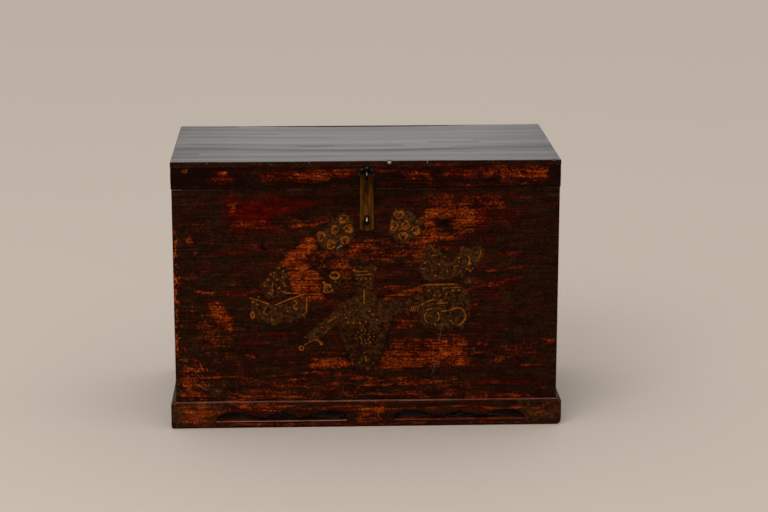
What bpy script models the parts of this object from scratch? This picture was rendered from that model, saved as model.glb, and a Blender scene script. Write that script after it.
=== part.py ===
"""Lacquered blanket chest: dovetailed carcase, pierced plinth, hinged lid and brass hasp.

Metres, +Z up, front towards -Y. The origin is on the floor, under the middle of the chest.
"""

import math

import bmesh
import bpy
from mathutils import Vector

# Overall sizes
LID_WIDTH = 0.660
LID_DEPTH = 0.350
CHEST_HEIGHT = 0.467
LID_HEIGHT = 0.047
LID_OVERHANG = 0.0012

# Clearances
FIT_GAP = 0.0003
SEAM_GAP = 0.0006
CUT_MARGIN = 0.002

# Carcase boards and their corner dovetails
WALL = 0.015
LOWER_BOARD_HEIGHT = 0.186
TONGUE_THICKNESS = 0.005
TONGUE_DEPTH = 0.005
DOVETAIL_LAP = 0.004
DOVETAIL_SLOPE = 1 / 7
WALL_TAIL_COUNT = 2
WALL_TAIL_WIDTH = 0.048

# Bottom boards, housed in the walls
BOTTOM_THICKNESS = 0.010
BOTTOM_RISE = 0.008
BOTTOM_HOUSING = 0.005

# Lid boards
LID_TOP_THICKNESS = 0.009
LID_FRONT_BOARD = 0.113
LID_RIM = 0.015
LID_TAIL_COUNT = 1
LID_TAIL_WIDTH = 0.018
PANEL_TONGUE_THICKNESS = 0.003
PANEL_TONGUE_DEPTH = 0.004
BATTEN_WIDTH = 0.030
BATTEN_THICKNESS = 0.012
BATTEN_SPACING = 0.360

# Plinth
PLINTH_HEIGHT = 0.0457
PLINTH_PROJECTION = 0.0087
PLINTH_RAIL = 0.020
PLINTH_TOP_ROUND = 0.004
PLINTH_FOOT_ROUND = 0.002
CORNER_BLOCK_LEG = 0.032
CORNER_BLOCK_FOOT = 0.004

# Pierced cut-outs of the plinth's front, with heights above their flat ledge
CUTOUT_SPACING = 0.306
CUTOUT_PAIR_OFFSET = 0.006
CUTOUT_WIDTH = 0.225
CUTOUT_LEDGE = 0.012
CUTOUT_CREST_HEIGHT = 0.0165
CUTOUT_CREST_INSET = 0.027
CUTOUT_DIP_HEIGHT = 0.004
CUTOUT_DIP_OFFSET = 0.0255
CUTOUT_SHOULDER_HEIGHT = 0.0100
CUTOUT_SHOULDER_OFFSET = 0.013
CUTOUT_PEAK_HEIGHT = 0.0145

# Butt hinges at the back seam
LID_OPENS_DEG = 105
HINGE_SPACING = 0.400
HINGE_LENGTH = 0.050
HINGE_INSET = 0.004
HINGE_CLEARANCE = 0.0004
KNUCKLE_RADIUS = 0.0032
HINGE_PIN_RADIUS = 0.0014
HINGE_PIN_CLEARANCE = 0.0002
LEAF_THICKNESS = 0.0016
LEAF_MARGIN = 0.001
NAIL_COUNT = 3
NAIL_PITCH = 0.017
NAIL_LENGTH = 0.010
NAIL_SHANK_RADIUS = 0.0011
NAIL_HEAD_RADIUS = 0.0023
NAIL_HEAD_DEPTH = 0.0012

# Hasp, its eye and rosette on the lid, and its staple on the carcase
HASP_OFFSET = 0.0005
HASP_PIVOT_DROP = 0.0236
HASP_LENGTH = 0.0965
HASP_TOP_WIDTH = 0.0150
HASP_NECK_WIDTH = 0.0218
HASP_NECK_DROP = 0.010
HASP_FOOT_WIDTH = 0.0238
HASP_FOOT_ROUND = 0.0045
HASP_FOOT_CROWN = 0.0015
HASP_THICKNESS = 0.0018
HASP_BAR = 0.0032
HASP_EYE_HOLE_WIDTH = 0.006
HASP_EYE_HOLE_HEIGHT = 0.0075
HASP_SLOT_DROP = 0.0777
HASP_SLOT_WIDTH = 0.0092
HASP_SLOT_HEIGHT = 0.0185
EYE_STANDOFF = 0.0039
EYE_INNER_RADIUS = 0.0028
EYE_WIRE_RADIUS = 0.0012
EYE_DEPTH = 0.011
STAPLE_STANDOFF = 0.0085
STAPLE_INNER_RADIUS = 0.0035
STAPLE_WIRE_RADIUS = 0.0018
STAPLE_DEPTH = 0.011
ROSETTE_RADIUS = 0.0135
ROSETTE_THICKNESS = 0.0012
ROSETTE_PETAL_COUNT = 8
ROSETTE_SCALLOP = 0.0011

# Length of the lines that show an empty
AXIS_DISPLAY_SIZE = 0.020

# Facets of round pieces
ROUND_SIDES = 24
NAIL_SIDES = 12
WIRE_BEVEL_STEPS = 3
BEND_STEPS = 12
ARC_STEPS = 5

# Worked-out places
BODY_HALF_WIDTH = LID_WIDTH / 2 - LID_OVERHANG
BODY_HALF_DEPTH = LID_DEPTH / 2 - LID_OVERHANG
LID_LOW = CHEST_HEIGHT - LID_HEIGHT
LID_RIM_TOP = CHEST_HEIGHT - LID_TOP_THICKNESS - FIT_GAP
WALL_LOW = PLINTH_HEIGHT + FIT_GAP
WALL_TOP = LID_LOW - SEAM_GAP
BOARD_JOINT = WALL_LOW + LOWER_BOARD_HEIGHT
HINGE_AXIS = Vector((0, BODY_HALF_DEPTH - HINGE_INSET, LID_LOW - SEAM_GAP / 2))
LEAF_WIDTH = WALL - HINGE_INSET - LEAF_MARGIN
HASP_AXIS = Vector((HASP_OFFSET, -LID_DEPTH / 2 - EYE_STANDOFF, CHEST_HEIGHT - HASP_PIVOT_DROP))
STAPLE_HEIGHT = HASP_AXIS.z - HASP_SLOT_DROP
SIDES = {"left": -1, "right": 1}

# Colour, roughness and metallic value of each material
FINISHES = {
    "lacquer": ((0.060, 0.016, 0.008, 1), 0.38, 0.0),
    "bare_wood": ((0.170, 0.090, 0.042, 1), 0.70, 0.0),
    "brass": ((0.320, 0.190, 0.060, 1), 0.42, 1.0),
    "dark_bronze": ((0.050, 0.042, 0.034, 1), 0.50, 1.0),
    "iron": ((0.080, 0.075, 0.070, 1), 0.60, 1.0),
}


def clear_scene():
    for thing in list(bpy.data.objects):
        bpy.data.objects.remove(thing, do_unlink=True)


def make_materials():
    made = {}
    for name, (colour, roughness, metallic) in FINISHES.items():
        material = bpy.data.materials.new(name)
        material.use_nodes = True
        shader = material.node_tree.nodes["Principled BSDF"]
        shader.inputs["Base Color"].default_value = colour
        shader.inputs["Roughness"].default_value = roughness
        shader.inputs["Metallic"].default_value = metallic
        made[name] = material
    return made


# Outlines: lists of points in one plane

def rectangle(low, high):
    return [(low[0], low[1]), (high[0], low[1]), (high[0], high[1]), (low[0], high[1])]


def arc(centre, radii, start_deg, end_deg, steps):
    """Points on an ellipse's arc, both ends included."""
    points = []
    for step in range(steps + 1):
        angle = math.radians(start_deg + (end_deg - start_deg) * step / steps)
        points.append((centre[0] + radii[0] * math.cos(angle), centre[1] + radii[1] * math.sin(angle)))
    return points


def circle(centre, radius, sides):
    return arc(centre, (radius, radius), 0, 360, sides)[:-1]


def obround(centre, width, height, steps):
    """An upright slot with round ends."""
    radius = width / 2
    rise = height / 2 - radius
    top = arc((centre[0], centre[1] + rise), (radius, radius), 0, 180, steps)
    foot = arc((centre[0], centre[1] - rise), (radius, radius), 180, 360, steps)
    return top + foot


# Solids: bmeshes in world space

def prism(outline, axis, low, high):
    """An outline carried along an axis. It lies in YZ for X, in XZ for Y and in XY for Z."""
    spread = {
        "X": lambda u, v, along: (along, u, v),
        "Y": lambda u, v, along: (u, along, v),
        "Z": lambda u, v, along: (u, v, along),
    }[axis]
    shape = bmesh.new()
    start = [shape.verts.new(spread(u, v, low)) for u, v in outline]
    end = [shape.verts.new(spread(u, v, high)) for u, v in outline]
    shape.faces.new(start)
    shape.faces.new(end)
    for i in range(len(outline)):
        j = (i + 1) % len(outline)
        shape.faces.new((start[i], start[j], end[j], end[i]))
    bmesh.ops.recalc_face_normals(shape, faces=shape.faces)
    return shape


def box(low, high):
    return prism(rectangle(low[:2], high[:2]), "Z", low[2], high[2])


def round_bar(centre, radius, low, high):
    """A cylinder along X, about a centre in YZ."""
    return prism(circle(centre, radius, ROUND_SIDES), "X", low, high)


def turned(profile, foot, sides, up=1):
    """A solid turned about a vertical axis through foot, from (height, radius) pairs. Ends are flat."""
    shape = bmesh.new()
    rings = []
    for height, radius in profile:
        points = circle((foot[0], foot[1]), radius, sides)
        rings.append([shape.verts.new((x, y, foot[2] + up * height)) for x, y in points])
    shape.faces.new(rings[0])
    shape.faces.new(rings[-1])
    for ring, above in zip(rings, rings[1:]):
        for i in range(sides):
            j = (i + 1) % sides
            shape.faces.new((ring[i], ring[j], above[j], above[i]))
    bmesh.ops.recalc_face_normals(shape, faces=shape.faces)
    return shape


def group(*shapes):
    """Several separate solids in one bmesh, for use as one cutter."""
    whole = bmesh.new()
    for shape in shapes:
        mesh = bpy.data.meshes.new("group")
        shape.to_mesh(mesh)
        whole.from_mesh(mesh)
        bpy.data.meshes.remove(mesh)
    return whole


# Objects

def add_object(name, shape, origin=(0, 0, 0)):
    bmesh.ops.translate(shape, verts=shape.verts, vec=-Vector(origin))
    mesh = bpy.data.meshes.new(name)
    shape.to_mesh(mesh)
    shape.free()
    thing = bpy.data.objects.new(name, mesh)
    thing.location = origin
    bpy.context.scene.collection.objects.link(thing)
    return thing


def add_axis(name, place, parent=None):
    """An empty on a joint's axis, which carries the pieces that move about it."""
    empty = bpy.data.objects.new(name, None)
    empty.empty_display_size = AXIS_DISPLAY_SIZE
    bpy.context.scene.collection.objects.link(empty)
    put(empty, place, parent)
    return empty


def put(thing, place, parent):
    """Stands an unrotated object at a place in the world, under an unrotated parent."""
    thing.parent = parent
    above = Vector((0, 0, 0))
    while parent:
        above += parent.location
        parent = parent.parent
    thing.location = Vector(place) - above


def piece(name, shape, material, parent, smooth=False):
    """A named piece whose origin is the middle of its own box."""
    corners = [vertex.co for vertex in shape.verts]
    low = Vector([min(corner[i] for corner in corners) for i in range(3)])
    high = Vector([max(corner[i] for corner in corners) for i in range(3)])
    middle = (low + high) / 2
    thing = add_object(name, shape, middle)
    put(thing, middle, parent)
    thing.data.materials.append(material)
    if smooth:
        thing.data.shade_smooth()
        thing.data.set_sharp_from_angle(angle=math.radians(35))
    return thing


def combine(thing, shape, operation):
    tool = add_object(f"{operation.lower()}_{thing.name}_{len(thing.modifiers)}", shape)
    tool.hide_render = True
    tool.display_type = "WIRE"
    modifier = thing.modifiers.new(tool.name, "BOOLEAN")
    modifier.operation = operation
    modifier.object = tool
    modifier.solver = "EXACT"


def cut(thing, *shapes):
    combine(thing, group(*shapes), "DIFFERENCE")


def join(thing, shape):
    combine(thing, shape, "UNION")


# Dovetailed boxes: the carcase's two courses of boards, and the lid's rim

def tail_centres(low, high, count):
    pitch = (high - low) / count
    return [low + pitch * (i + 0.5) for i in range(count)]


def side_outline(half_depth, thickness, low, high, tails, tail_width):
    """The YZ outline of a side board, with tails on both ends."""
    shoulder = half_depth - thickness - FIT_GAP
    tip = half_depth - DOVETAIL_LAP - FIT_GAP
    half_tip = tail_width / 2
    half_root = half_tip - DOVETAIL_SLOPE * (tip - shoulder)
    back_end = [(shoulder, low)]
    for middle in tail_centres(low, high, tails):
        back_end += [(shoulder, middle - half_root), (tip, middle - half_tip)]
        back_end += [(tip, middle + half_tip), (shoulder, middle + half_root)]
    back_end.append((shoulder, high))
    front_end = [(-y, z) for y, z in reversed(back_end)]
    return back_end + front_end


def sockets(facing, half_width, half_depth, thickness, low, high, tails, tail_width):
    """Cutters for the blind sockets at both ends of the front (-1) or back (1) board."""
    floor = half_depth - DOVETAIL_LAP
    mouth = half_depth - thickness - CUT_MARGIN
    slack = FIT_GAP * math.hypot(1, DOVETAIL_SLOPE)
    half_floor = tail_width / 2 + slack + DOVETAIL_SLOPE * FIT_GAP
    half_mouth = half_floor - DOVETAIL_SLOPE * (floor - mouth)
    inner = half_width - thickness - FIT_GAP
    outer = half_width + CUT_MARGIN
    cutters = []
    for middle in tail_centres(low, high, tails):
        outline = [
            (facing * mouth, middle - half_mouth),
            (facing * floor, middle - half_floor),
            (facing * floor, middle + half_floor),
            (facing * mouth, middle + half_mouth),
        ]
        cutters.append(prism(outline, "X", inner, outer))
        cutters.append(prism(outline, "X", -outer, -inner))
    return cutters


def dovetailed_box(names, half_width, half_depth, thickness, low, high, tails, tail_width, material, parent):
    """Front, back, left and right boards of a box with half-blind dovetails."""
    boards = {}
    for side, facing in (("front", -1), ("back", 1)):
        near, far = sorted((facing * (half_depth - thickness), facing * half_depth))
        shape = box((-half_width, near, low), (half_width, far, high))
        boards[side] = piece(names.format(side), shape, material, parent)
        cut(boards[side], *sockets(facing, half_width, half_depth, thickness, low, high, tails, tail_width))
    outline = side_outline(half_depth, thickness, low, high, tails, tail_width)
    for side, facing in SIDES.items():
        near, far = sorted((facing * (half_width - thickness), facing * half_width))
        boards[side] = piece(names.format(side), prism(outline, "X", near, far), material, parent)
    return boards


def edge_strip(side, half_width, half_depth, thickness, strip, low, high, reach):
    """A strip along the middle of one wall's edge, used as a tongue or as its groove."""
    if side in SIDES:
        middle = SIDES[side] * (half_width - thickness / 2)
        end = half_depth - thickness - FIT_GAP + reach
        return box((middle - strip / 2, -end, low), (middle + strip / 2, end, high))
    middle = (1 if side == "back" else -1) * (half_depth - thickness / 2)
    end = half_width + reach
    return box((-end, middle - strip / 2, low), (end, middle + strip / 2, high))


def build_walls(materials, root):
    """Two courses of dovetailed boards, tongued and grooved to each other."""
    size = (BODY_HALF_WIDTH, BODY_HALF_DEPTH, WALL)
    tails = (WALL_TAIL_COUNT, WALL_TAIL_WIDTH, materials["lacquer"], root)
    lower = dovetailed_box("{}_lower_board", *size, WALL_LOW, BOARD_JOINT, *tails)
    upper = dovetailed_box("{}_upper_board", *size, BOARD_JOINT + FIT_GAP, WALL_TOP, *tails)
    tongue_top = BOARD_JOINT + TONGUE_DEPTH
    for side in lower:
        tongue = edge_strip(side, *size, TONGUE_THICKNESS, BOARD_JOINT - CUT_MARGIN, tongue_top, 0)
        join(lower[side], tongue)
        groove_width = TONGUE_THICKNESS + 2 * FIT_GAP
        groove_top = tongue_top + FIT_GAP
        groove = edge_strip(side, *size, groove_width, BOARD_JOINT - CUT_MARGIN, groove_top, CUT_MARGIN)
        cut(upper[side], groove)
    return lower, upper


def tongued_pair(names, low, high, joint, material, parent):
    """Two flat boards side by side in Y, the front one with a tongue in the back one's groove."""
    middle = (low[2] + high[2]) / 2
    front = piece(names.format("front"), box(low, (high[0], joint, high[2])), material, parent)
    back = piece(names.format("back"), box((low[0], joint + FIT_GAP, low[2]), high), material, parent)
    half = PANEL_TONGUE_THICKNESS / 2
    tip = joint + PANEL_TONGUE_DEPTH
    join(front, box((low[0], joint - CUT_MARGIN, middle - half), (high[0], tip, middle + half)))
    half += FIT_GAP
    reach = (CUT_MARGIN, 0, 0)
    groove_low = Vector((low[0], joint - CUT_MARGIN, middle - half)) - Vector(reach)
    groove_high = Vector((high[0], tip + FIT_GAP, middle + half)) + Vector(reach)
    cut(back, box(groove_low, groove_high))


def build_bottom(materials, root, lower_walls):
    """Bottom boards, with their edges in grooves in the four lower boards."""
    half_width = BODY_HALF_WIDTH - WALL + BOTTOM_HOUSING
    half_depth = BODY_HALF_DEPTH - WALL + BOTTOM_HOUSING
    low = WALL_LOW + BOTTOM_RISE
    high = low + BOTTOM_THICKNESS
    for board in lower_walls.values():
        groove_low = (-half_width, -half_depth, low - FIT_GAP)
        groove_high = (half_width, half_depth, high + FIT_GAP)
        cut(board, box(groove_low, groove_high))
    half_width -= FIT_GAP
    half_depth -= FIT_GAP
    corners = ((-half_width, -half_depth, low), (half_width, half_depth, high))
    tongued_pair("bottom_{}_board", *corners, 0, materials["bare_wood"], root)


# Plinth

def rail_profile():
    """(depth behind the outer face, height) points of a rail, rounded at its outer edges."""
    foot = arc((PLINTH_FOOT_ROUND, PLINTH_FOOT_ROUND), (PLINTH_FOOT_ROUND,) * 2, 270, 180, ARC_STEPS)
    top_centre = (PLINTH_TOP_ROUND, PLINTH_HEIGHT - PLINTH_TOP_ROUND)
    top = arc(top_centre, (PLINTH_TOP_ROUND,) * 2, 180, 90, ARC_STEPS)
    return foot + top + [(PLINTH_RAIL, PLINTH_HEIGHT), (PLINTH_RAIL, 0)]


def mitred_rail(half_length, half_span, turn):
    """A rail whose ends are mitred at 45 degrees. turn carries (along, out, up) to world space."""
    shape = bmesh.new()
    ends = []
    for sign in (-1, 1):
        ring = []
        for depth, height in rail_profile():
            along = sign * (half_length - depth - FIT_GAP * math.sqrt(0.5))
            ring.append(shape.verts.new(turn(along, half_span - depth, height)))
        ends.append(ring)
        shape.faces.new(ring)
    start, end = ends
    for i in range(len(start)):
        j = (i + 1) % len(start)
        shape.faces.new((start[i], start[j], end[j], end[i]))
    bmesh.ops.recalc_face_normals(shape, faces=shape.faces)
    return shape


def cutout_outline(middle):
    """XZ outline of one pierced cut-out: flat ledge, two crested lobes and a pointed middle."""
    half = CUTOUT_WIDTH / 2
    crest = half - CUTOUT_CREST_INSET
    left = arc((-crest, 0), (CUTOUT_CREST_INSET, CUTOUT_CREST_HEIGHT), 180, 90, ARC_STEPS)
    fall = CUTOUT_CREST_HEIGHT - CUTOUT_DIP_HEIGHT
    slope_steps = 2 * ARC_STEPS
    for step in range(1, slope_steps + 1):
        share = step / slope_steps
        height = CUTOUT_DIP_HEIGHT + fall * (1 + math.cos(math.pi * share)) / 2
        left.append((-crest + (crest - CUTOUT_DIP_OFFSET) * share, height))
    shoulder_radii = (CUTOUT_DIP_OFFSET - CUTOUT_SHOULDER_OFFSET, CUTOUT_SHOULDER_HEIGHT - CUTOUT_DIP_HEIGHT)
    left += arc((-CUTOUT_SHOULDER_OFFSET, CUTOUT_DIP_HEIGHT), shoulder_radii, 180, 90, ARC_STEPS)[1:]
    rise = CUTOUT_PEAK_HEIGHT - CUTOUT_SHOULDER_HEIGHT
    for step in range(1, ARC_STEPS):
        share = step / ARC_STEPS
        left.append((-CUTOUT_SHOULDER_OFFSET * (1 - share), CUTOUT_SHOULDER_HEIGHT + rise * share**2))
    right = [(-x, z) for x, z in reversed(left)]
    whole = left + [(0, CUTOUT_PEAK_HEIGHT)] + right
    return [(middle + x, CUTOUT_LEDGE + z) for x, z in whole]


def build_plinth(materials, root):
    """Four mitred rails under the carcase, with a glue block in each corner."""
    half_width = BODY_HALF_WIDTH + PLINTH_PROJECTION
    half_depth = BODY_HALF_DEPTH + PLINTH_PROJECTION
    turns = {
        "front": (half_width, half_depth, lambda along, out, up: (along, -out, up)),
        "back": (half_width, half_depth, lambda along, out, up: (along, out, up)),
        "left": (half_depth, half_width, lambda along, out, up: (-out, along, up)),
        "right": (half_depth, half_width, lambda along, out, up: (out, along, up)),
    }
    rails = {}
    for side, (half_length, half_span, turn) in turns.items():
        shape = mitred_rail(half_length, half_span, turn)
        rails[side] = piece(f"plinth_{side}_rail", shape, materials["lacquer"], root)
    front_low = -half_depth - CUT_MARGIN
    front_high = -half_depth + PLINTH_RAIL + CUT_MARGIN
    middles = [CUTOUT_PAIR_OFFSET + sign * CUTOUT_SPACING / 2 for sign in SIDES.values()]
    cut(rails["front"], *[prism(cutout_outline(x), "Y", front_low, front_high) for x in middles])
    corner_x = half_width - PLINTH_RAIL - FIT_GAP
    corner_y = half_depth - PLINTH_RAIL - FIT_GAP
    for end, facing in (("front", -1), ("back", 1)):
        for side, sign in SIDES.items():
            outline = [
                (sign * corner_x, facing * corner_y),
                (sign * (corner_x - CORNER_BLOCK_LEG), facing * corner_y),
                (sign * corner_x, facing * (corner_y - CORNER_BLOCK_LEG)),
            ]
            shape = prism(outline, "Z", CORNER_BLOCK_FOOT, PLINTH_HEIGHT)
            piece(f"plinth_block_{end}_{side}", shape, materials["bare_wood"], root)


# Lid

def build_lid(materials, lid_axis):
    size = (LID_WIDTH / 2, LID_DEPTH / 2, LID_RIM, LID_LOW, LID_RIM_TOP)
    rims = dovetailed_box("lid_{}_rim", *size, LID_TAIL_COUNT, LID_TAIL_WIDTH, materials["lacquer"], lid_axis)
    low = (-LID_WIDTH / 2, -LID_DEPTH / 2, CHEST_HEIGHT - LID_TOP_THICKNESS)
    high = (LID_WIDTH / 2, LID_DEPTH / 2, CHEST_HEIGHT)
    joint = LID_FRONT_BOARD - LID_DEPTH / 2
    tongued_pair("lid_top_{}_board", low, high, joint, materials["lacquer"], lid_axis)
    end = LID_DEPTH / 2 - LID_RIM - FIT_GAP
    for side, sign in SIDES.items():
        middle = sign * BATTEN_SPACING / 2
        low = (middle - BATTEN_WIDTH / 2, -end, LID_RIM_TOP - BATTEN_THICKNESS)
        high = (middle + BATTEN_WIDTH / 2, end, LID_RIM_TOP)
        piece(f"lid_batten_{side}", box(low, high), materials["bare_wood"], lid_axis)
    return rims


# Hinges

def nail_profile(slack=0.0):
    """(depth, radius) points of a countersunk nail, or of its hole where slack is given."""
    shank = NAIL_SHANK_RADIUS + slack
    head = NAIL_HEAD_RADIUS + slack
    start = [(-CUT_MARGIN, head)] if slack else []
    depth = NAIL_HEAD_DEPTH + slack
    return start + [(0, head), (depth, shank), (NAIL_LENGTH + slack, shank)]


def chamfer(edge, facing, half_depth):
    """A cutter along the back edge of the wall (facing -1) or of the lid (1), from the hinge's axis out."""
    back = half_depth + CUT_MARGIN
    fall = math.tan(math.radians(LID_OPENS_DEG / 2)) * (back - HINGE_AXIS.y)
    outline = [
        (HINGE_AXIS.y, edge - facing * CUT_MARGIN),
        (HINGE_AXIS.y, edge),
        (back, edge + facing * fall),
        (back, edge - facing * CUT_MARGIN),
    ]
    end = LID_WIDTH / 2 + CUT_MARGIN
    return prism(outline, "X", -end, end)


def knuckle_spans(middle):
    """X spans of a hinge's three knuckles, with running gaps between them."""
    start = middle - HINGE_LENGTH / 2
    length = (HINGE_LENGTH - 2 * FIT_GAP) / 3
    return [(start + i * (length + FIT_GAP), start + i * (length + FIT_GAP) + length) for i in range(3)]


def hinge_leaf(name, middle, edge, facing, own, material, parent):
    """A leaf let in flush at an edge, with the knuckles numbered in own. facing points into the board."""
    near, far = sorted((edge, edge + facing * LEAF_THICKNESS))
    low = (middle - HINGE_LENGTH / 2, HINGE_AXIS.y - LEAF_WIDTH, near)
    high = (middle + HINGE_LENGTH / 2, HINGE_AXIS.y, far)
    leaf = piece(name, box(low, high), material, parent, smooth=True)
    axis = (HINGE_AXIS.y, HINGE_AXIS.z)
    spans = knuckle_spans(middle)
    clear = KNUCKLE_RADIUS + HINGE_CLEARANCE
    for number, (start, end) in enumerate(spans):
        if number in own:
            join(leaf, round_bar(axis, KNUCKLE_RADIUS, start, end))
        else:
            cut(leaf, round_bar(axis, clear, start - FIT_GAP, end + FIT_GAP))
    bore = HINGE_PIN_RADIUS + HINGE_PIN_CLEARANCE
    cut(leaf, round_bar(axis, bore, low[0] - CUT_MARGIN, high[0] + CUT_MARGIN))
    return leaf


def let_in(board, middle, edge, facing):
    """Cuts the recess for a leaf and the hollow for the knuckles into a board's edge."""
    low_x = middle - HINGE_LENGTH / 2 - FIT_GAP
    high_x = middle + HINGE_LENGTH / 2 + FIT_GAP
    floor = edge + facing * (LEAF_THICKNESS + FIT_GAP)
    near, far = sorted((edge - facing * CUT_MARGIN, floor))
    front = HINGE_AXIS.y - LEAF_WIDTH - FIT_GAP
    cut(board, box((low_x, front, near), (high_x, HINGE_AXIS.y, far)))
    clear = KNUCKLE_RADIUS + HINGE_CLEARANCE
    cut(board, round_bar((HINGE_AXIS.y, HINGE_AXIS.z), clear, low_x, high_x))


def build_hinges(materials, root, lid_axis, back_board, back_rim):
    cut(back_board, chamfer(WALL_TOP, -1, BODY_HALF_DEPTH))
    cut(back_rim, chamfer(LID_LOW, 1, LID_DEPTH / 2))
    row = HINGE_AXIS.y - (LEAF_WIDTH + KNUCKLE_RADIUS + HINGE_CLEARANCE) / 2
    halves = (
        ("body", WALL_TOP, -1, (0, 2), back_board, root),
        ("lid", LID_LOW, 1, (1,), back_rim, lid_axis),
    )
    for side, sign in SIDES.items():
        middle = sign * HINGE_SPACING / 2
        for half, edge, facing, own, board, parent in halves:
            name = f"hinge_{half}_leaf_{side}"
            leaf = hinge_leaf(name, middle, edge, facing, own, materials["brass"], parent)
            let_in(board, middle, edge, facing)
            for number in range(NAIL_COUNT):
                x = middle + (number - (NAIL_COUNT - 1) / 2) * NAIL_PITCH
                foot = (x, row, edge)
                hole = turned(nail_profile(FIT_GAP), foot, NAIL_SIDES, facing)
                cut(leaf, hole.copy())
                cut(board, hole)
                nail = turned(nail_profile(), foot, NAIL_SIDES, facing)
                piece(f"hinge_{half}_nail_{side}_{number + 1}", nail, materials["iron"], parent, smooth=True)
        half_length = HINGE_LENGTH / 2
        axis = (HINGE_AXIS.y, HINGE_AXIS.z)
        pin = round_bar(axis, HINGE_PIN_RADIUS, middle - half_length, middle + half_length)
        piece(f"hinge_pin_{side}", pin, materials["iron"], root, smooth=True)


# Hasp

def wire_loop(name, bend, reach, inner_radius, wire_radius, material, parent):
    """A round wire bent to a U about bend, in the YZ plane, with legs that run back to Y = reach."""
    radius = inner_radius + wire_radius
    upright = arc((bend.y, bend.z), (radius, radius), 270, 90, BEND_STEPS)
    path = [(reach, bend.z - radius)] + upright + [(reach, bend.z + radius)]
    curve = bpy.data.curves.new(name, "CURVE")
    curve.dimensions = "3D"
    curve.bevel_depth = wire_radius
    curve.bevel_resolution = WIRE_BEVEL_STEPS
    curve.use_fill_caps = True
    spline = curve.splines.new("POLY")
    spline.points.add(len(path) - 1)
    for point, (y, z) in zip(spline.points, path):
        point.co = (0, y - bend.y, z - bend.z, 1)
    spline.use_smooth = True
    thing = bpy.data.objects.new(name, curve)
    bpy.context.scene.collection.objects.link(thing)
    put(thing, bend, parent)
    curve.materials.append(material)


def leg_holes(bend, face, reach, inner_radius, wire_radius):
    """Cutters for the two holes that a loop's legs are driven into."""
    radius = inner_radius + wire_radius
    bore = wire_radius + FIT_GAP
    legs = [(bend.x, bend.z - radius), (bend.x, bend.z + radius)]
    return [prism(circle(leg, bore, ROUND_SIDES), "Y", face - CUT_MARGIN, reach + FIT_GAP) for leg in legs]


def rosette_outline(centre):
    points = []
    count = ROUND_SIDES * 2
    for i in range(count):
        angle = 2 * math.pi * i / count
        dip = 1 - abs(math.cos(angle * ROSETTE_PETAL_COUNT / 2))
        radius = ROSETTE_RADIUS - ROSETTE_SCALLOP * dip**2
        points.append((centre[0] + radius * math.cos(angle), centre[1] + radius * math.sin(angle)))
    return points


def strap_outline():
    """XZ outline of the strap about the hasp's axis: narrow top, widening blade, crowned foot."""
    half_top = HASP_TOP_WIDTH / 2
    half_neck = HASP_NECK_WIDTH / 2
    half_foot = HASP_FOOT_WIDTH / 2
    top = HASP_BAR / 2
    shoulder_radii = (half_neck - half_top, HASP_NECK_DROP + top)
    shoulder = arc((half_top, -HASP_NECK_DROP), shoulder_radii, 0, 90, ARC_STEPS)
    corner = (half_foot - HASP_FOOT_ROUND, HASP_FOOT_CROWN + HASP_FOOT_ROUND - HASP_LENGTH)
    foot = arc(corner, (HASP_FOOT_ROUND,) * 2, 270, 360, ARC_STEPS)
    right = [(0, -HASP_LENGTH)] + foot + shoulder
    left = [(-x, z) for x, z in reversed(right[1:])]
    return [(HASP_AXIS.x + x, HASP_AXIS.z + z) for x, z in right + left]


def build_hasp(materials, root, lid_axis, hasp_axis, front_board, front_rim):
    """Strap on its eye, the rosette under the eye, and the staple that the strap's slot drops over."""
    lid_face = -LID_DEPTH / 2
    eye_reach = lid_face + EYE_DEPTH
    eye_size = (EYE_INNER_RADIUS, EYE_WIRE_RADIUS)
    wire_loop("hasp_eye", HASP_AXIS, eye_reach, *eye_size, materials["brass"], lid_axis)
    cut(front_rim, *leg_holes(HASP_AXIS, lid_face, eye_reach, *eye_size))

    centre = (HASP_AXIS.x, HASP_AXIS.z)
    back = lid_face - FIT_GAP
    plate = prism(rosette_outline(centre), "Y", back - ROSETTE_THICKNESS, back)
    rosette = piece("hasp_rosette", plate, materials["dark_bronze"], lid_axis)
    slit_width = 2 * (EYE_WIRE_RADIUS + FIT_GAP)
    slit_height = 2 * (EYE_INNER_RADIUS + 2 * EYE_WIRE_RADIUS + FIT_GAP)
    slit = obround(centre, slit_width, slit_height, ARC_STEPS)
    cut(rosette, prism(slit, "Y", back - ROSETTE_THICKNESS - CUT_MARGIN, back + CUT_MARGIN))

    half_thickness = HASP_THICKNESS / 2
    blade = prism(strap_outline(), "Y", HASP_AXIS.y - half_thickness, HASP_AXIS.y + half_thickness)
    strap = piece("hasp_strap", blade, materials["brass"], hasp_axis)
    eye_hole_middle = HASP_AXIS.z - HASP_BAR / 2 - HASP_EYE_HOLE_HEIGHT / 2
    eye_hole = obround((HASP_AXIS.x, eye_hole_middle), HASP_EYE_HOLE_WIDTH, HASP_EYE_HOLE_HEIGHT, ARC_STEPS)
    slot = obround((HASP_AXIS.x, STAPLE_HEIGHT), HASP_SLOT_WIDTH, HASP_SLOT_HEIGHT, ARC_STEPS)
    through = (HASP_AXIS.y - half_thickness - CUT_MARGIN, HASP_AXIS.y + half_thickness + CUT_MARGIN)
    cut(strap, prism(eye_hole, "Y", *through), prism(slot, "Y", *through))

    body_face = -BODY_HALF_DEPTH
    bend = Vector((HASP_AXIS.x, body_face - STAPLE_STANDOFF, STAPLE_HEIGHT))
    staple_reach = body_face + STAPLE_DEPTH
    staple_size = (STAPLE_INNER_RADIUS, STAPLE_WIRE_RADIUS)
    wire_loop("hasp_staple", bend, staple_reach, *staple_size, materials["brass"], root)
    cut(front_board, *leg_holes(bend, body_face, staple_reach, *staple_size))


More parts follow.
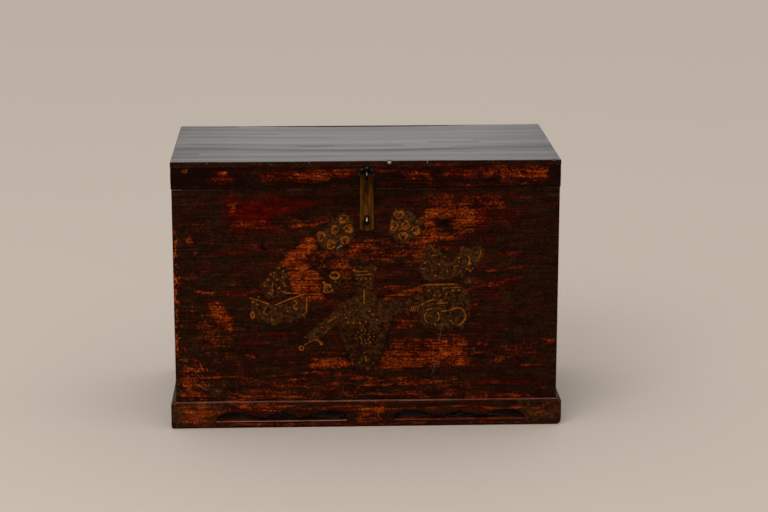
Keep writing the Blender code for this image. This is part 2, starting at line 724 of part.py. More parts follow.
def main():
    clear_scene()
    materials = make_materials()
    root = add_axis("chest", (0, 0, 0))
    lid_axis = add_axis("lid_hinge_axis", HINGE_AXIS, root)
    hasp_axis = add_axis("hasp_axis", HASP_AXIS, lid_axis)
    lower_walls, upper_walls = build_walls(materials, root)
    build_bottom(materials, root, lower_walls)
    build_plinth(materials, root)
    rims = build_lid(materials, lid_axis)
    build_hinges(materials, root, lid_axis, upper_walls["back"], rims["back"])
    build_hasp(materials, root, lid_axis, hasp_axis, upper_walls["front"], rims["front"])


main()
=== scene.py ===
"""Looks of the lacquered blanket chest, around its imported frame.

Metres, +Z up, front towards -Y, as in the frame. What is painted on the front, and where it is worn,
is placed in millimetres: X to the right of the chest's middle, Z up from the floor.
"""

import math

import bpy
import numpy as np
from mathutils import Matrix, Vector


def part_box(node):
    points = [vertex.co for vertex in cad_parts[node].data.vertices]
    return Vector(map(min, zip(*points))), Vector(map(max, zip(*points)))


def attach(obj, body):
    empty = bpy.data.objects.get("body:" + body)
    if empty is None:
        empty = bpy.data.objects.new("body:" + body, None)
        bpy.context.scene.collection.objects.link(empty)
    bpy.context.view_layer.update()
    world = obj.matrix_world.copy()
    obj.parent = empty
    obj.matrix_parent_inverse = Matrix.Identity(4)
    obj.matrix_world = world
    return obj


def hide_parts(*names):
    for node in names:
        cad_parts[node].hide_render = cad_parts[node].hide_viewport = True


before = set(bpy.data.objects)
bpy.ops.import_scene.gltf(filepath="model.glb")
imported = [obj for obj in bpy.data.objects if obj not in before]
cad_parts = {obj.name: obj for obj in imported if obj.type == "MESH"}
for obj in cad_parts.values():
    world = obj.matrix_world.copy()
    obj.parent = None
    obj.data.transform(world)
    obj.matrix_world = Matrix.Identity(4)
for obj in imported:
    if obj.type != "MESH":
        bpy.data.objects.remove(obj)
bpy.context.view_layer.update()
MM = 0.001

# Places that the frame gives
FRONT_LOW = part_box("front_lower_board")[0]
FRONT_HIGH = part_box("front_upper_board")[1]
RIM_LOW, RIM_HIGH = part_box("lid_front_rim")
TOP_LOW, TOP_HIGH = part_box("lid_top_front_board")
TOP_BACK_LOW, TOP_BACK_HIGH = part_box("lid_top_back_board")
PLINTH_LOW, PLINTH_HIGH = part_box("plinth_front_rail")
ROSETTE_LOW, ROSETTE_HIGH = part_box("hasp_rosette")
STAPLE_LOW, STAPLE_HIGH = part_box("hasp_staple")
EYE_LOW, EYE_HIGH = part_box("hasp_eye")

# Thickness of the walls, and the height at which the front's two boards meet
WALL = 0.015
BOARD_JOINT = 0.232

# Camera: place, turn and lens that the photograph's corners give
CAMERA_PLACE = (-0.1066, -3.6366, 1.1407)
CAMERA_PITCH_DEG = 13.611
CAMERA_YAW_DEG = 2.257
CAMERA_LENS_MM = 98.19
CAMERA_SENSOR_MM = 36.0

# Light and floor
WORLD_COLOUR = (1.0, 0.978, 0.960, 1)
WORLD_STRENGTH = 0.80
KEY_PLACE = (-1.6, -3.2, 3.2)
KEY_AIM = (0, -0.1, 0.25)
KEY_SIZE = 2.6
KEY_POWER = 60
FLOOR_LOOK = {"Base Color": (0.60, 0.52, 0.45, 1), "Roughness": 0.8, "Specular IOR Level": 0.1}
FLOOR_HALF = 9.0


# Noise and distances for painting, all on arrays of points

def value_noise(u, v, seed):
    """Smooth noise from 0 to 1, one cell for each unit of u and v."""
    side = 256
    table = np.random.default_rng(seed).random((side, side))
    cell_u = np.floor(u).astype(int)
    cell_v = np.floor(v).astype(int)
    part_u = u - cell_u
    part_v = v - cell_v
    part_u = part_u * part_u * (3 - 2 * part_u)
    part_v = part_v * part_v * (3 - 2 * part_v)
    low_u, high_u = cell_u % side, (cell_u + 1) % side
    low_v, high_v = cell_v % side, (cell_v + 1) % side
    near = table[low_u, low_v] * (1 - part_u) + table[high_u, low_v] * part_u
    far = table[low_u, high_v] * (1 - part_u) + table[high_u, high_v] * part_u
    return near * (1 - part_v) + far * part_v


def fractal(u, v, seed, octaves=4):
    """Noise from 0 to 1 in several octaves."""
    total = np.zeros(np.shape(u))
    weight = 0.0
    for octave in range(octaves):
        share = 0.5**octave
        total += share * value_noise(u * 2**octave, v * 2**octave, seed + octave)
        weight += share
    return total / weight


def smooth_step(low, high, value):
    share = np.clip((value - low) / (high - low), 0, 1)
    return share * share * (3 - 2 * share)


def to_segment(x, z, start, end):
    """Distance of points to a straight segment."""
    along = np.subtract(end, start).astype(float)
    length = max(along @ along, 1e-9)
    share = np.clip(((x - start[0]) * along[0] + (z - start[1]) * along[1]) / length, 0, 1)
    return np.hypot(x - start[0] - share * along[0], z - start[1] - share * along[1])


def to_path(x, z, points):
    return np.min([to_segment(x, z, a, b) for a, b in zip(points, points[1:])], axis=0)


def to_polygon(x, z, points):
    """Signed distance to a closed outline, negative inside."""
    closed = list(points) + [points[0]]
    distance = to_path(x, z, closed)
    inside = np.zeros(np.shape(x), bool)
    for (x0, z0), (x1, z1) in zip(closed, closed[1:]):
        if z0 != z1:
            crosses = (z0 > z) != (z1 > z)
            inside ^= crosses & (x < (x1 - x0) * (z - z0) / (z1 - z0) + x0)
    return np.where(inside, -distance, distance)


def curve(points, steps=6):
    """A smooth line through points."""
    ends = [points[0]] + list(points) + [points[-1]]
    made = []
    for before, start, end, after in zip(ends, ends[1:], ends[2:], ends[3:]):
        p0, p1, p2, p3 = (np.array(p, float) for p in (before, start, end, after))
        for step in range(steps):
            t = step / steps
            bend = (2 * p0 - 5 * p1 + 4 * p2 - p3) * t**2 + (3 * p1 - p0 - 3 * p2 + p3) * t**3
            made.append(tuple((2 * p1 + (p2 - p0) * t + bend) / 2))
    return made + [tuple(points[-1])]


def around(place, radii, steps, start_deg=0, end_deg=360):
    """Points on a round or oval arc."""
    angles = np.radians(np.linspace(start_deg, end_deg, steps + 1))
    return [(place[0] + radii[0] * math.cos(a), place[1] + radii[1] * math.sin(a)) for a in angles]


class Paint:
    """What is painted on one surface and where it is worn, at points given in millimetres.

    gold and ink hold the distance to the nearest line, up to REACH, and the other layers hold amounts.
    """

    REACH = 4.0
    RAGGED_REACH = 12
    LAYERS = {"gold": REACH, "ink": REACH, "film": 0.0, "red": 0.0, "orange": 0.0, "dark": 0.0, "pale": 0.0}

    def __init__(self, x, z):
        self.x = x
        self.z = z
        self.ragged_x = x + 18 * (fractal(x / 24, z / 7, 201) - 0.5)
        self.ragged_z = z + 8 * (fractal(x / 30, z / 8, 211) - 0.5)
        for layer, plain in self.LAYERS.items():
            setattr(self, layer, np.full(x.shape, plain))

    def near(self, points, margin):
        xs = [p[0] for p in points]
        zs = [p[1] for p in points]
        across = (self.x > min(xs) - margin) & (self.x < max(xs) + margin)
        return across & (self.z > min(zs) - margin) & (self.z < max(zs) + margin)

    def stroke(self, points, width=1.8, layer="gold"):
        """A line of the gold or of the dark ink."""
        values = getattr(self, layer)
        where = self.near(points, width + self.REACH)
        distance = to_path(self.x[where], self.z[where], points) - width / 2
        values[where] = np.minimum(values[where], distance)

    def strokes(self, marks, layer="gold"):
        for points, width in marks:
            self.stroke(points, width, layer)

    def dot(self, place, radius=1.5, layer="gold"):
        self.stroke([place, place], 2 * radius, layer)

    def dots(self, places, radius):
        for place in places:
            self.dot(place, radius)

    def ring(self, place, radii, width=2.2, start_deg=0, end_deg=360, layer="gold"):
        self.stroke(around(place, radii, 18, start_deg, end_deg), width, layer)

    def ground(self, points, amount, feather, seed=0, crumbs=0.6):
        """The olive film of a motif, in a dark halo, with crumbs of gold left on it and dark pits in it."""
        self.cover("dark", points, 0.6, 2.0 * feather)
        self.cover("film", points, amount, feather)
        rng = np.random.default_rng(seed)
        corner = np.min(points, axis=0)
        size = np.ptp(points, axis=0)
        for layer, share, least in (("gold", 1.2, 0.2), ("ink", 2.6, 0.1)):
            for _ in range(int(share * crumbs * size[0] * size[1] / 100)):
                place = corner + size * rng.random(2)
                radius = least + 0.8 * rng.random()
                if to_polygon(place[:1], place[1:], points)[0] < -1.5:
                    self.dot(tuple(place), radius, layer)

    def flower(self, place, radii, turn):
        """An uneven ring of petals, open at one side, with an orange middle."""
        steps = 24
        points = []
        for step in range(steps + 1):
            angle = math.radians(turn + 315 * step / steps)
            swell = 1 + 0.14 * math.sin(3 * angle + turn) + 0.09 * math.sin(7 * angle)
            across = swell * radii[0] * math.cos(angle)
            points.append((place[0] + across, place[1] + swell * radii[1] * math.sin(angle)))
        for layer in ("orange", "red"):
            self.streak(layer, [place, place], 0.9 * min(radii), 0.9)
        self.stroke(points[:12], 3.4)
        self.stroke(points[11:], 1.8)
        self.ring(place, (0.40 * radii[0], 0.40 * radii[1]), 1.2, turn + 60, turn + 220)
        self.dot((place[0] + 0.8, place[1] - 0.8), 0.9, "ink")

    def points_near(self, points, margin, ragged):
        """Where a mark can reach, and the places there, shifted a little for a ragged mark."""
        where = self.near(points, margin + (self.RAGGED_REACH if ragged else 0))
        x, z = (self.ragged_x, self.ragged_z) if ragged else (self.x, self.z)
        return where, x[where], z[where]

    def lift(self, layer, amounts):
        """Raises a layer to an amount given for every point."""
        setattr(self, layer, np.maximum(getattr(self, layer), amounts))

    def cover(self, layer, points, amount, feather, ragged=False):
        """Raises a layer to an amount inside an outline, with a soft edge."""
        values = getattr(self, layer)
        where, x, z = self.points_near(points, feather, ragged)
        share = amount * smooth_step(feather, -feather, to_polygon(x, z, points))
        values[where] = np.maximum(values[where], share)

    def streak(self, layer, points, half_width, amount, ragged=False):
        """Raises a layer along a line, fading to its sides."""
        values = getattr(self, layer)
        where, x, z = self.points_near(points, 2 * half_width, ragged)
        share = amount * smooth_step(2 * half_width, 0.3 * half_width, to_path(x, z, points))
        values[where] = np.maximum(values[where], share)

    def wear(self, patches, lines, spots):
        """Wears through to red and to orange: outlines, lines and round spots."""
        for points, feather, red, orange in patches:
            self.cover("red", points, red, 2.6 * feather, ragged=True)
            self.cover("orange", points, orange, 2.0 * feather, ragged=True)
        for points, half_width, red, orange in lines:
            self.streak("red", points, half_width, red, ragged=True)
            self.streak("orange", points, half_width, orange, ragged=True)
        for place, radius, red, orange in spots:
            self.streak("red", [place, place], radius, 0.8 * red, ragged=True)
            self.streak("orange", [place, place], 0.9 * radius, 0.9 * orange, ragged=True)

    def scuffs(self, points, count, length, lean_deg, amount, seed, layer="orange"):
        """Short scratches that lean about one way, inside an outline."""
        rng = np.random.default_rng(seed)
        corner = np.min(points, axis=0)
        size = np.ptp(points, axis=0)
        for _ in range(count):
            place = corner + size * rng.random(2)
            angle = math.radians(lean_deg + 60 * (rng.random() - 0.5))
            reach = length * (0.4 + 0.6 * rng.random()) / 2
            step = np.array([math.cos(angle), math.sin(angle)]) * reach
            strength = amount * (0.6 + 0.4 * rng.random())
            if to_polygon(place[:1], place[1:], points)[0] < 0:
                self.streak(layer, [tuple(place - step), tuple(place + step)], 0.9, strength)


# Painted ornament of the front: vases, a planter, leaves and clusters of ring flowers

FLOWER_TURN_DEG = 77
LEFT_FLOWERS = [
    ((-77, 337), (5.5, 7.6)), ((-53, 348), (5.6, 6.2)), ((-37, 366), (7.2, 6.2)),
    ((-31, 350), (6.6, 6.0)), ((-37, 330), (6.2, 6.2)), ((-60, 322), (6.4, 6.6)),
]
LEFT_FLOWER_GROUND = [
    (-88, 337), (-79, 351), (-62, 359), (-47, 376), (-32, 376), (-24, 364),
    (-19, 343), (-28, 324), (-46, 315), (-62, 311), (-75, 319), (-87, 327),
]
RIGHT_FLOWERS = [
    ((55, 373), (7.4, 5.6)), ((47, 354), (5.6, 7.6)), ((67, 355), (6.0, 6.6)),
    ((84, 346), (6.0, 6.4)), ((62, 336), (6.8, 6.0)),
]
RIGHT_FLOWER_GROUND = [
    (37, 353), (43, 373), (57, 385), (76, 377), (94, 363), (97, 343), (83, 334), (69, 323), (52, 325),
    (39, 339),
]
RIGHT_FLOWER_DOTS = [(76, 368), (86, 362), (57, 347)]
PLANTER_BODY = [(-199, 230), (-198, 192), (-162, 180), (-100, 194), (-100, 231), (-154, 216), (-168, 219)]
PLANTER_PLANT = [
    (-141, 297), (-134, 284), (-134, 244), (-146, 226), (-172, 226), (-183, 250), (-166, 272), (-154, 287),
]
PLANTER_BERRIES = [
    (-141, 286), (-149, 282), (-142, 277), (-157, 274), (-163, 271), (-143, 266), (-141, 256), (-139, 251),
    (-174, 251), (-175, 244), (-166, 239), (-149, 247), (-160, 243), (-162, 236), (-184, 232), (-152, 262),
]
PLANTER_STROKES = [
    ([(-199, 230), (-186, 226), (-167, 219)], 2.2), ([(-156, 217), (-130, 228), (-108, 235)], 2.2),
    (curve([(-146, 242), (-136, 238), (-118, 238)]), 2.2), ([(-195, 223), (-194, 222)], 3.4),
    ([(-188, 219), (-183, 217)], 2.6), (curve([(-172, 212), (-176, 205), (-171, 200)]), 2.0),
    ([(-162, 198), (-162, 189)], 2.2), ([(-102, 229), (-103, 205), (-108, 199)], 2.4),
    (curve([(-124, 226), (-119, 220), (-125, 214), (-120, 208)]), 1.6),
    ([(-160, 260), (-161, 246), (-159, 238)], 1.2),
]
VASE_NECK = [(-25, 286), (19, 286), (14, 262), (9, 240), (16, 224), (-24, 224), (-16, 240), (-20, 262)]
VASE_BODY = [
    (-24, 226), (16, 226), (38, 208), (43, 186), (36, 157), (19, 114), (6, 98),
    (-14, 98), (-26, 112), (-44, 150), (-50, 176), (-54, 200), (-44, 214),
]
VASE_SHOULDER = [(-22, 230), (14, 230), (40, 214), (46, 196), (36, 178), (-50, 176), (-58, 198), (-46, 218)]
VASE_SHOULDER_DOTS = [
    (-29, 203), (-32, 185), (-22, 184), (-11, 184), (-1, 186), (18, 189), (11, 198), (5, 205), (-35, 193),
]
VASE_STROKES = [
    ([(-22, 277), (-18, 277)], 3.0), ([(-15, 275), (1, 275)], 1.8), ([(-19, 268), (9, 270)], 1.6),
    ([(-4, 241), (-4, 219)], 2.2), ([(-2, 124), (-1, 115)], 2.4),
]
VASE_SIDES = [
    (curve([(38, 170), (33, 148), (19, 112)]), 2.4), (curve([(-49, 172), (-42, 146), (-26, 110)]), 2.0),
]
SCROLL_BODY = [(-110, 158), (-78, 186), (-52, 210), (-38, 208), (-40, 190), (-66, 168), (-88, 152)]
SCROLL_DOTS = [
    (-105, 159), (-90, 166), (-88, 155), (-77, 177), (-71, 167), (-58, 182), (-97, 167), (-66, 176),
]
BOWL_BODY = [(90, 252), (166, 252), (176, 236), (180, 200), (166, 172), (118, 168), (92, 182), (86, 214)]
BOWL_LEAF = [(54, 229), (92, 234), (94, 212), (80, 198), (49, 198), (32, 208), (32, 218)]
BOWL_DOTS = [(107, 240), (116, 232), (126, 232), (137, 234), (148, 240), (158, 240), (128, 222)]
FOLIAGE_GROUND = [
    (88, 302), (107, 323), (131, 306), (145, 291), (157, 303), (174, 315), (196, 318),
    (190, 290), (174, 272), (160, 260), (103, 258), (88, 276),
]
FOLIAGE_DOTS = [
    (100, 289), (124, 286), (158, 297), (177, 287), (158, 291), (112, 276), (138, 274), (150, 282),
    (118, 266),
]
FOLIAGE_VEINS = [
    [(106, 314), (116, 296), (124, 268)], [(96, 298), (106, 284), (110, 266)],
    [(146, 290), (144, 276), (138, 262)], [(182, 310), (178, 294), (164, 272)],
    [(166, 308), (162, 290), (152, 268)],
]
BOWL_STROKES = [
    ([(97, 250), (149, 251)], 2.4), ([(132, 244), (160, 245)], 1.2), ([(122, 217), (138, 218)], 2.0),
    ([(94, 215), (104, 221), (116, 224)], 2.2), ([(103, 206), (112, 208)], 2.2),
    ([(145, 186), (149, 181)], 3.2),
    (curve([(129, 203), (143, 205), (155, 209), (165, 206), (170, 194), (166, 184), (159, 178)]), 2.4),
    (curve([(195, 310), (194, 302), (188, 291)]), 1.4), (curve([(108, 321), (113, 314), (119, 309)]), 1.0),
    ([(113, 302), (120, 301)], 2.2), ([(167, 274), (172, 279), (177, 273), (183, 279)], 1.4),
    ([(92, 279), (98, 278)], 3.0), (curve([(174, 300), (176, 292), (173, 284)]), 2.2),
]
BOWL_FILMS = [
    ([(173, 255), (177, 257)], 4.0, 1.0), (curve([(194, 311), (193, 302), (186, 290)]), 4.6, 1.3),
    (curve([(107, 322), (113, 313), (122, 307)]), 3.0, 1.1),
    (curve([(163, 312), (172, 311), (178, 308)]), 3.4, 1.1),
]


def draw_flowers(paint, flowers, ground):
    """Ring flowers on an olive ground."""
    paint.ground(ground, 0.62, 4, seed=len(flowers))
    for number, (place, radii) in enumerate(flowers):
        paint.flower(place, radii, FLOWER_TURN_DEG * number)


def draw_planter(paint):
    """A square planter seen on its corner, with a berried plant."""
    paint.ground(PLANTER_BODY, 0.55, 5)
    paint.ground(PLANTER_PLANT, 0.50, 6)
    paint.strokes(PLANTER_STROKES)
    paint.dots(PLANTER_BERRIES, 1.7)
    for place, radius in (((-168, 262), 2.4), ((-120, 210), 1.8), ((-135, 206), 1.3)):
        paint.dot(place, radius)
    paint.ring((-195, 200), (2.6, 5.6))


def draw_vase(paint):
    """The tall vase in the middle, with a lined rim, a dotted collar and two rings of dots on its belly."""
    paint.ground(VASE_NECK, 0.55, 5)
    paint.ground(VASE_BODY, 0.38, 6, seed=12, crumbs=0.15)
    paint.ground(VASE_SHOULDER, 0.60, 8, seed=13)
    paint.strokes(VASE_STROKES)
    paint.strokes(VASE_SIDES, "ink")
    paint.dots([(-17 + 8 * step, 262) for step in range(4)] + VASE_SHOULDER_DOTS, 1.7)
    for count, radii in ((13, (16, 12)), (8, (8.5, 6))):
        paint.dots(around((-3, 159), radii, count), 1.2)
    for place, radius in (((15, 280), 2.6), ((-4, 131), 1.3), ((-12, 113), 1.5), ((2, 103), 1.5)):
        paint.dot(place, radius)


def draw_scroll(paint):
    """A dotted leaf scroll that hangs to the left of the vase."""
    paint.ground(SCROLL_BODY, 0.58, 4)
    paint.stroke([(-66, 186), (-52, 195)])
    paint.stroke(curve([(-106, 146), (-90, 155), (-79, 150)]))
    paint.dot((-78, 148), 3.0)
    paint.ring((-112, 140), (3.6, 3.4))
    paint.dots(SCROLL_DOTS, 1.2)


def draw_bowl(paint):
    """A footed bowl on the right, with two rings on its belly and leaves standing in it."""
    paint.ground(BOWL_LEAF, 0.48, 6, seed=14)
    paint.ground(BOWL_BODY, 0.50, 6)
    paint.ground(FOLIAGE_GROUND, 0.58, 6)
    paint.strokes(BOWL_STROKES)
    paint.strokes([([(75 + 4 * step, 204), (78 + 4 * step, 213)], 1.2) for step in range(4)])
    paint.strokes([(curve(points), 1.4) for points in FOLIAGE_VEINS], "ink")
    paint.dots(BOWL_DOTS + FOLIAGE_DOTS, 1.9)
    paint.dot((118, 180), 1.8)
    paint.ring((110, 193), (10.5, 11), 2.0, 130, 250)
    paint.ring((110, 193), (14.5, 12), 2.0, -30, 40)
    paint.cover("orange", [(106, 190), (113, 190), (113, 197), (106, 197)], 0.8, 3)
    paint.streak("orange", [(174, 255), (176, 256)], 2.6, 0.6)
    for points, half_width, amount in BOWL_FILMS:
        paint.streak("film", points, half_width, amount)


def draw_ring_pair(paint):
    """Two larger rings between the plant and the vase, on dark twigs."""
    paint.streak("orange", [(-54, 268), (-54, 268)], 4, 0.6)
    paint.ring((-54, 268), (7.6, 5.4), 3.0)
    paint.ring((-54, 268), (12.0, 9.4), 1.2, layer="ink")
    paint.dot((-53, 257), 1.8)
    paint.flower((-66, 245), (7.6, 6.8), 40)
    paint.ring((-66, 245), (12.0, 11.0), 1.4, 120, 260, layer="ink")
    paint.dot((-73, 256), 2.2)
    paint.ground([(-78, 238), (-78, 256), (-60, 278), (-40, 276), (-42, 258), (-56, 234)], 0.45, 4)
    paint.stroke([(-106, 275), (-84, 287), (-63, 295)], 2.4, "ink")
    paint.stroke([(-88, 281), (-74, 268), (-63, 259)], 2.0, "ink")
    paint.streak("pale", [(-50, 316), (-42, 321)], 1.0, 0.55)


def draw_ornament(paint):
    draw_flowers(paint, LEFT_FLOWERS, LEFT_FLOWER_GROUND)
    draw_flowers(paint, RIGHT_FLOWERS, RIGHT_FLOWER_GROUND)
    paint.dots(RIGHT_FLOWER_DOTS, 1.4)
    draw_planter(paint)
    draw_ring_pair(paint)
    draw_vase(paint)
    draw_scroll(paint)
    draw_bowl(paint)


# Wear of the front in millimetres: outlines, lines and spots, and how far each is worn to red and to orange

WORN_PATCHES = [
    ([(-148, 296), (-116, 323), (-92, 338), (-76, 330), (-88, 314), (-104, 292), (-134, 274)], 4, 0.8, 0.88),
    ([(-138, 284), (-100, 292), (-76, 270), (-72, 250), (-74, 224), (-112, 218), (-128, 243)], 4, 0.8, 0.70),
    ([(-88, 312), (-30, 314), (-20, 256), (-42, 246), (-64, 278), (-86, 280)], 8, 0.6, 0.58),
    ([(88, 364), (104, 388), (138, 390), (176, 383), (192, 372), (152, 364), (118, 363)], 5, 0.9, 0.74),
    ([(98, 356), (114, 370), (122, 345), (146, 343), (162, 352), (180, 344), (152, 332), (104, 322)],
     6, 0.9, 0.78),
    ([(74, 334), (86, 350), (128, 352), (134, 306), (110, 300), (98, 282), (66, 284)], 8, 0.7, 0.58),
    ([(146, 376), (192, 374), (186, 344), (146, 344)], 7, 0.8, 0.66),
    ([(110, 324), (142, 322), (138, 304), (114, 306)], 5, 0.7, 0.60),
    ([(180, 396), (216, 394), (210, 344), (182, 344)], 7, 0.92, 0.38),
    ([(14, 104), (24, 128), (40, 156), (64, 150), (76, 98)], 6, 0.7, 0.62),
    ([(174, 142), (208, 138), (206, 114), (174, 116)], 6, 0.7, 0.54),
    ([(18, 106), (32, 122), (39, 147), (63, 160), (95, 158), (124, 166), (169, 160), (181, 147),
      (184, 112), (146, 104), (115, 102), (79, 99), (50, 96), (23, 102)], 7, 0.75, 0.52),
    ([(114, 156), (166, 157), (174, 146), (172, 106), (118, 106)], 6, 0.9, 0.72),
    ([(18, 105), (44, 117), (90, 115), (128, 120), (126, 108), (88, 102), (48, 97)], 4, 0.8, 0.70),
    ([(-108, 312), (-60, 314), (-22, 300), (-24, 288), (-62, 280), (-98, 286)], 8, 0.6, 0.40),
    ([(-272, 223), (-251, 223), (-231, 207), (-226, 181), (-232, 166), (-251, 172), (-267, 197)],
     6, 0.8, 0.66),
    ([(-302, 200), (-236, 196), (-228, 120), (-278, 122), (-292, 150)], 12, 0.48, 0.44),
    ([(-319, 116), (-306, 108), (-298, 88), (-290, 66), (-268, 58), (-268, 48), (-316, 48)], 6, 0.7, 0.66),
    ([(-103, 110), (-91, 120), (-34, 121), (-20, 109), (-34, 103), (-94, 102)], 3, 0.8, 0.68),
    ([(-86, 124), (-43, 124), (-44, 140), (-84, 136)], 6, 0.7, 0.54),
    ([(-242, 406), (-146, 412), (-134, 392), (-150, 366), (-152, 344), (-213, 340), (-238, 346), (-244, 381)],
     9, 0.92, 0.04),
    ([(-150, 412), (-40, 412), (-60, 388), (-100, 376), (-150, 370)], 8, 0.68, 0.02),
    ([(-240, 370), (-160, 366), (-150, 350), (-232, 346)], 7, 0.9, 0.50),
    ([(-166, 361), (-136, 359), (-136, 346), (-166, 346)], 3, 0.7, 0.46),
    ([(-246, 252), (-196, 252), (-196, 225), (-246, 225)], 7, 0.52, 0.05),
    ([(-40, 334), (20, 338), (92, 322), (92, 294), (-42, 290)], 9, 0.62, 0.46),
    ([(26, 262), (84, 258), (84, 190), (46, 190)], 10, 0.60, 0.36),
    ([(106, 411), (150, 411), (150, 386), (102, 384)], 7, 0.78, 0.52),
    ([(150, 408), (236, 405), (238, 380), (150, 380)], 7, 0.80, 0.52),
    ([(244, 411), (276, 411), (276, 400), (244, 400)], 4, 0.66, 0.30),
    ([(190, 386), (286, 386), (286, 356), (200, 340)], 12, 0.52, 0.22),
    ([(161, 234), (238, 236), (236, 206), (166, 206)], 12, 0.56, 0.06),
    ([(180, 182), (248, 180), (246, 162), (182, 164)], 8, 0.56, 0.24),
    ([(182, 150), (290, 146), (288, 114), (182, 112)], 10, 0.60, 0.30),
    ([(304, 154), (323, 153), (322, 135), (304, 136)], 4, 0.6, 0.50),
    ([(57, 190), (88, 190), (88, 174), (58, 174)], 5, 0.7, 0.58),
]
WORN_LINES = [
    ([(-128, 352), (-96, 357), (-66, 363)], 3.0, 0.8, 0.62),
    ([(-126, 365), (-80, 368)], 2.4, 0.7, 0.46),
    ([(-270, 311), (-228, 309), (-208, 310)], 3.0, 0.66, 0.22),
    ([(-236, 307), (-222, 308)], 3.0, 0.6, 0.5),
    ([(-296, 243), (-266, 239)], 3.2, 0.6, 0.5),
    ([(-292, 277), (-262, 279)], 2.4, 0.6, 0.24),
    ([(181, 273), (240, 277), (293, 286)], 1.8, 0.8, 0.44),
    ([(163, 236), (200, 247), (262, 263)], 4.0, 0.66, 0.36),
    ([(180, 242), (212, 252)], 3.2, 0.7, 0.52),
    ([(36, 229), (66, 234), (93, 245)], 5.2, 0.8, 0.74),
    ([(-30, 85), (60, 83)], 4.0, 0.7, 0.50),
    ([(224, 303), (262, 307)], 3.0, 0.64, 0.40),
    ([(211, 371), (288, 373)], 1.8, 0.66, 0.30),
    ([(206, 352), (250, 352)], 1.8, 0.66, 0.30),
    ([(-168, 167), (-115, 166)], 4.0, 0.68, 0.12),
    ([(-66, 163), (-46, 164)], 4.0, 0.66, 0.16),
    ([(-222, 150), (-206, 151)], 3.4, 0.7, 0.24),
    ([(-234, 141), (-180, 140)], 2.0, 0.66, 0.24),
    ([(-206, 125), (-191, 125)], 2.6, 0.66, 0.52),
    ([(-326, 90), (-246, 90), (-166, 89)], 1.8, 0.66, 0.50),
    ([(-110, 96), (-50, 94), (1, 90)], 2.6, 0.66, 0.50),
    ([(-165, 74), (-100, 71), (-49, 69)], 2.2, 0.66, 0.48),
    ([(-191, 54), (-150, 53), (-107, 52)], 3.0, 0.70, 0.56),
    ([(-318, 58), (-284, 57)], 5.0, 0.6, 0.66),
    ([(-240, 62), (-204, 56)], 4.0, 0.6, 0.62),
    ([(6, 58), (52, 56)], 4.0, 0.6, 0.52),
    ([(-12, 73), (78, 74)], 1.8, 0.66, 0.52),
    ([(68, 76), (110, 78), (150, 82)], 4.0, 0.72, 0.64),
    ([(-134, 86), (-72, 84)], 3.0, 0.66, 0.52),
    ([(180, 77), (240, 75), (302, 73)], 3.4, 0.70, 0.34),
    ([(56, 55), (160, 53), (277, 51)], 4.4, 0.72, 0.50),
    ([(267, 105), (304, 105)], 1.8, 0.66, 0.52),
    ([(-320, 150), (-306, 132), (-292, 112)], 2.0, 0.6, 0.42),
    ([(-300, 96), (-282, 112), (-270, 118)], 1.6, 0.6, 0.46),
]
WORN_SPOTS = [
    ((-299, 331), 10, 0.7, 0.72), ((-292, 309), 5, 0.6, 0.46), ((-224, 390), 9, 0.9, 0.74),
    ((-270, 386), 12, 0.36, 0.06), ((95, 326), 9, 0.7, 0.46), ((-30, 284), 8, 0.7, 0.62),
    ((70, 288), 8, 0.6, 0.30), ((300, 66), 9, 0.6, 0.34), ((-240, 122), 8, 0.6, 0.40),
]
LEFT_SCUFFS = [(-300, 214), (-240, 220), (-226, 150), (-250, 112), (-276, 128), (-282, 170)]
CORNER_SCUFFS = [(-318, 128), (-286, 122), (-268, 96), (-276, 56), (-312, 56)]
RIGHT_SCUFFS = [(186, 150), (250, 152), (292, 146), (288, 112), (190, 110)]
LEFT_CRACKS = [(-148, 296), (-92, 338), (-76, 330), (-76, 250), (-74, 224), (-112, 218), (-138, 284)]
RIGHT_CRACKS = [(98, 384), (190, 384), (190, 344), (110, 322)]
LOW_CRACKS = [(20, 110), (40, 152), (168, 158), (176, 112), (60, 98)]
DARK_SPOTS = [
    ((136, 359), 10), ((95, 141), 9), ((148, 372), 4), ((176, 372), 3), ((120, 134), 4), ((-108, 262), 4),
    ((-176, 320), 8),
]
DARK_BAND = [(-146, 414), (88, 414), (80, 388), (-22, 384), (-138, 372)]
DARK_LINES = [[(104, 347), (131, 360)], [(150, 112), (158, 124)]]
PALE_LINES = [[(130, 182), (125, 152)], [(120, 114), (113, 91)], [(-50, 316), (-49, 306)]]


def wear_front(paint):
    """Base wear that is redder in the middle panel, then the patches, lines and spots."""
    panel = smooth_step(246, 214, np.abs(paint.x + 6))
    calm = smooth_step(150, 240, paint.x)
    paint.red += 0.14 + 0.20 * panel
    foot = smooth_step(110, 60, paint.z)
    paint.orange += 0.19 - 0.15 * calm + 0.13 * foot * (1 - calm)
    paint.dark += 0.10 * calm
    redder = smooth_step(366, 384, paint.z) * smooth_step(-20, -40, paint.x)
    paint.orange -= 0.15 * redder * smooth_step(-262, -246, paint.x)
    paint.wear(WORN_PATCHES, WORN_LINES, WORN_SPOTS)
    paint.scuffs(LEFT_SCUFFS, 110, 16, 100, 0.62, 301)
    paint.scuffs(CORNER_SCUFFS, 40, 18, -40, 0.75, 302)
    paint.scuffs(RIGHT_SCUFFS, 110, 12, 60, 0.50, 303)
    for number, points in enumerate((LEFT_CRACKS, RIGHT_CRACKS, LOW_CRACKS)):
        paint.scuffs(points, 45, 15, 30, 0.55, 311 + number, "dark")
    paint.cover("dark", DARK_BAND, 0.42, 14, ragged=True)
    for place, radius in DARK_SPOTS:
        paint.streak("dark", [place, place], 0.7 * radius, 1.0, ragged=True)
    for points in DARK_LINES:
        paint.streak("dark", points, 1.6, 0.8)
    for points in PALE_LINES:
        paint.streak("pale", points, 0.9, 0.34)


# Meshes

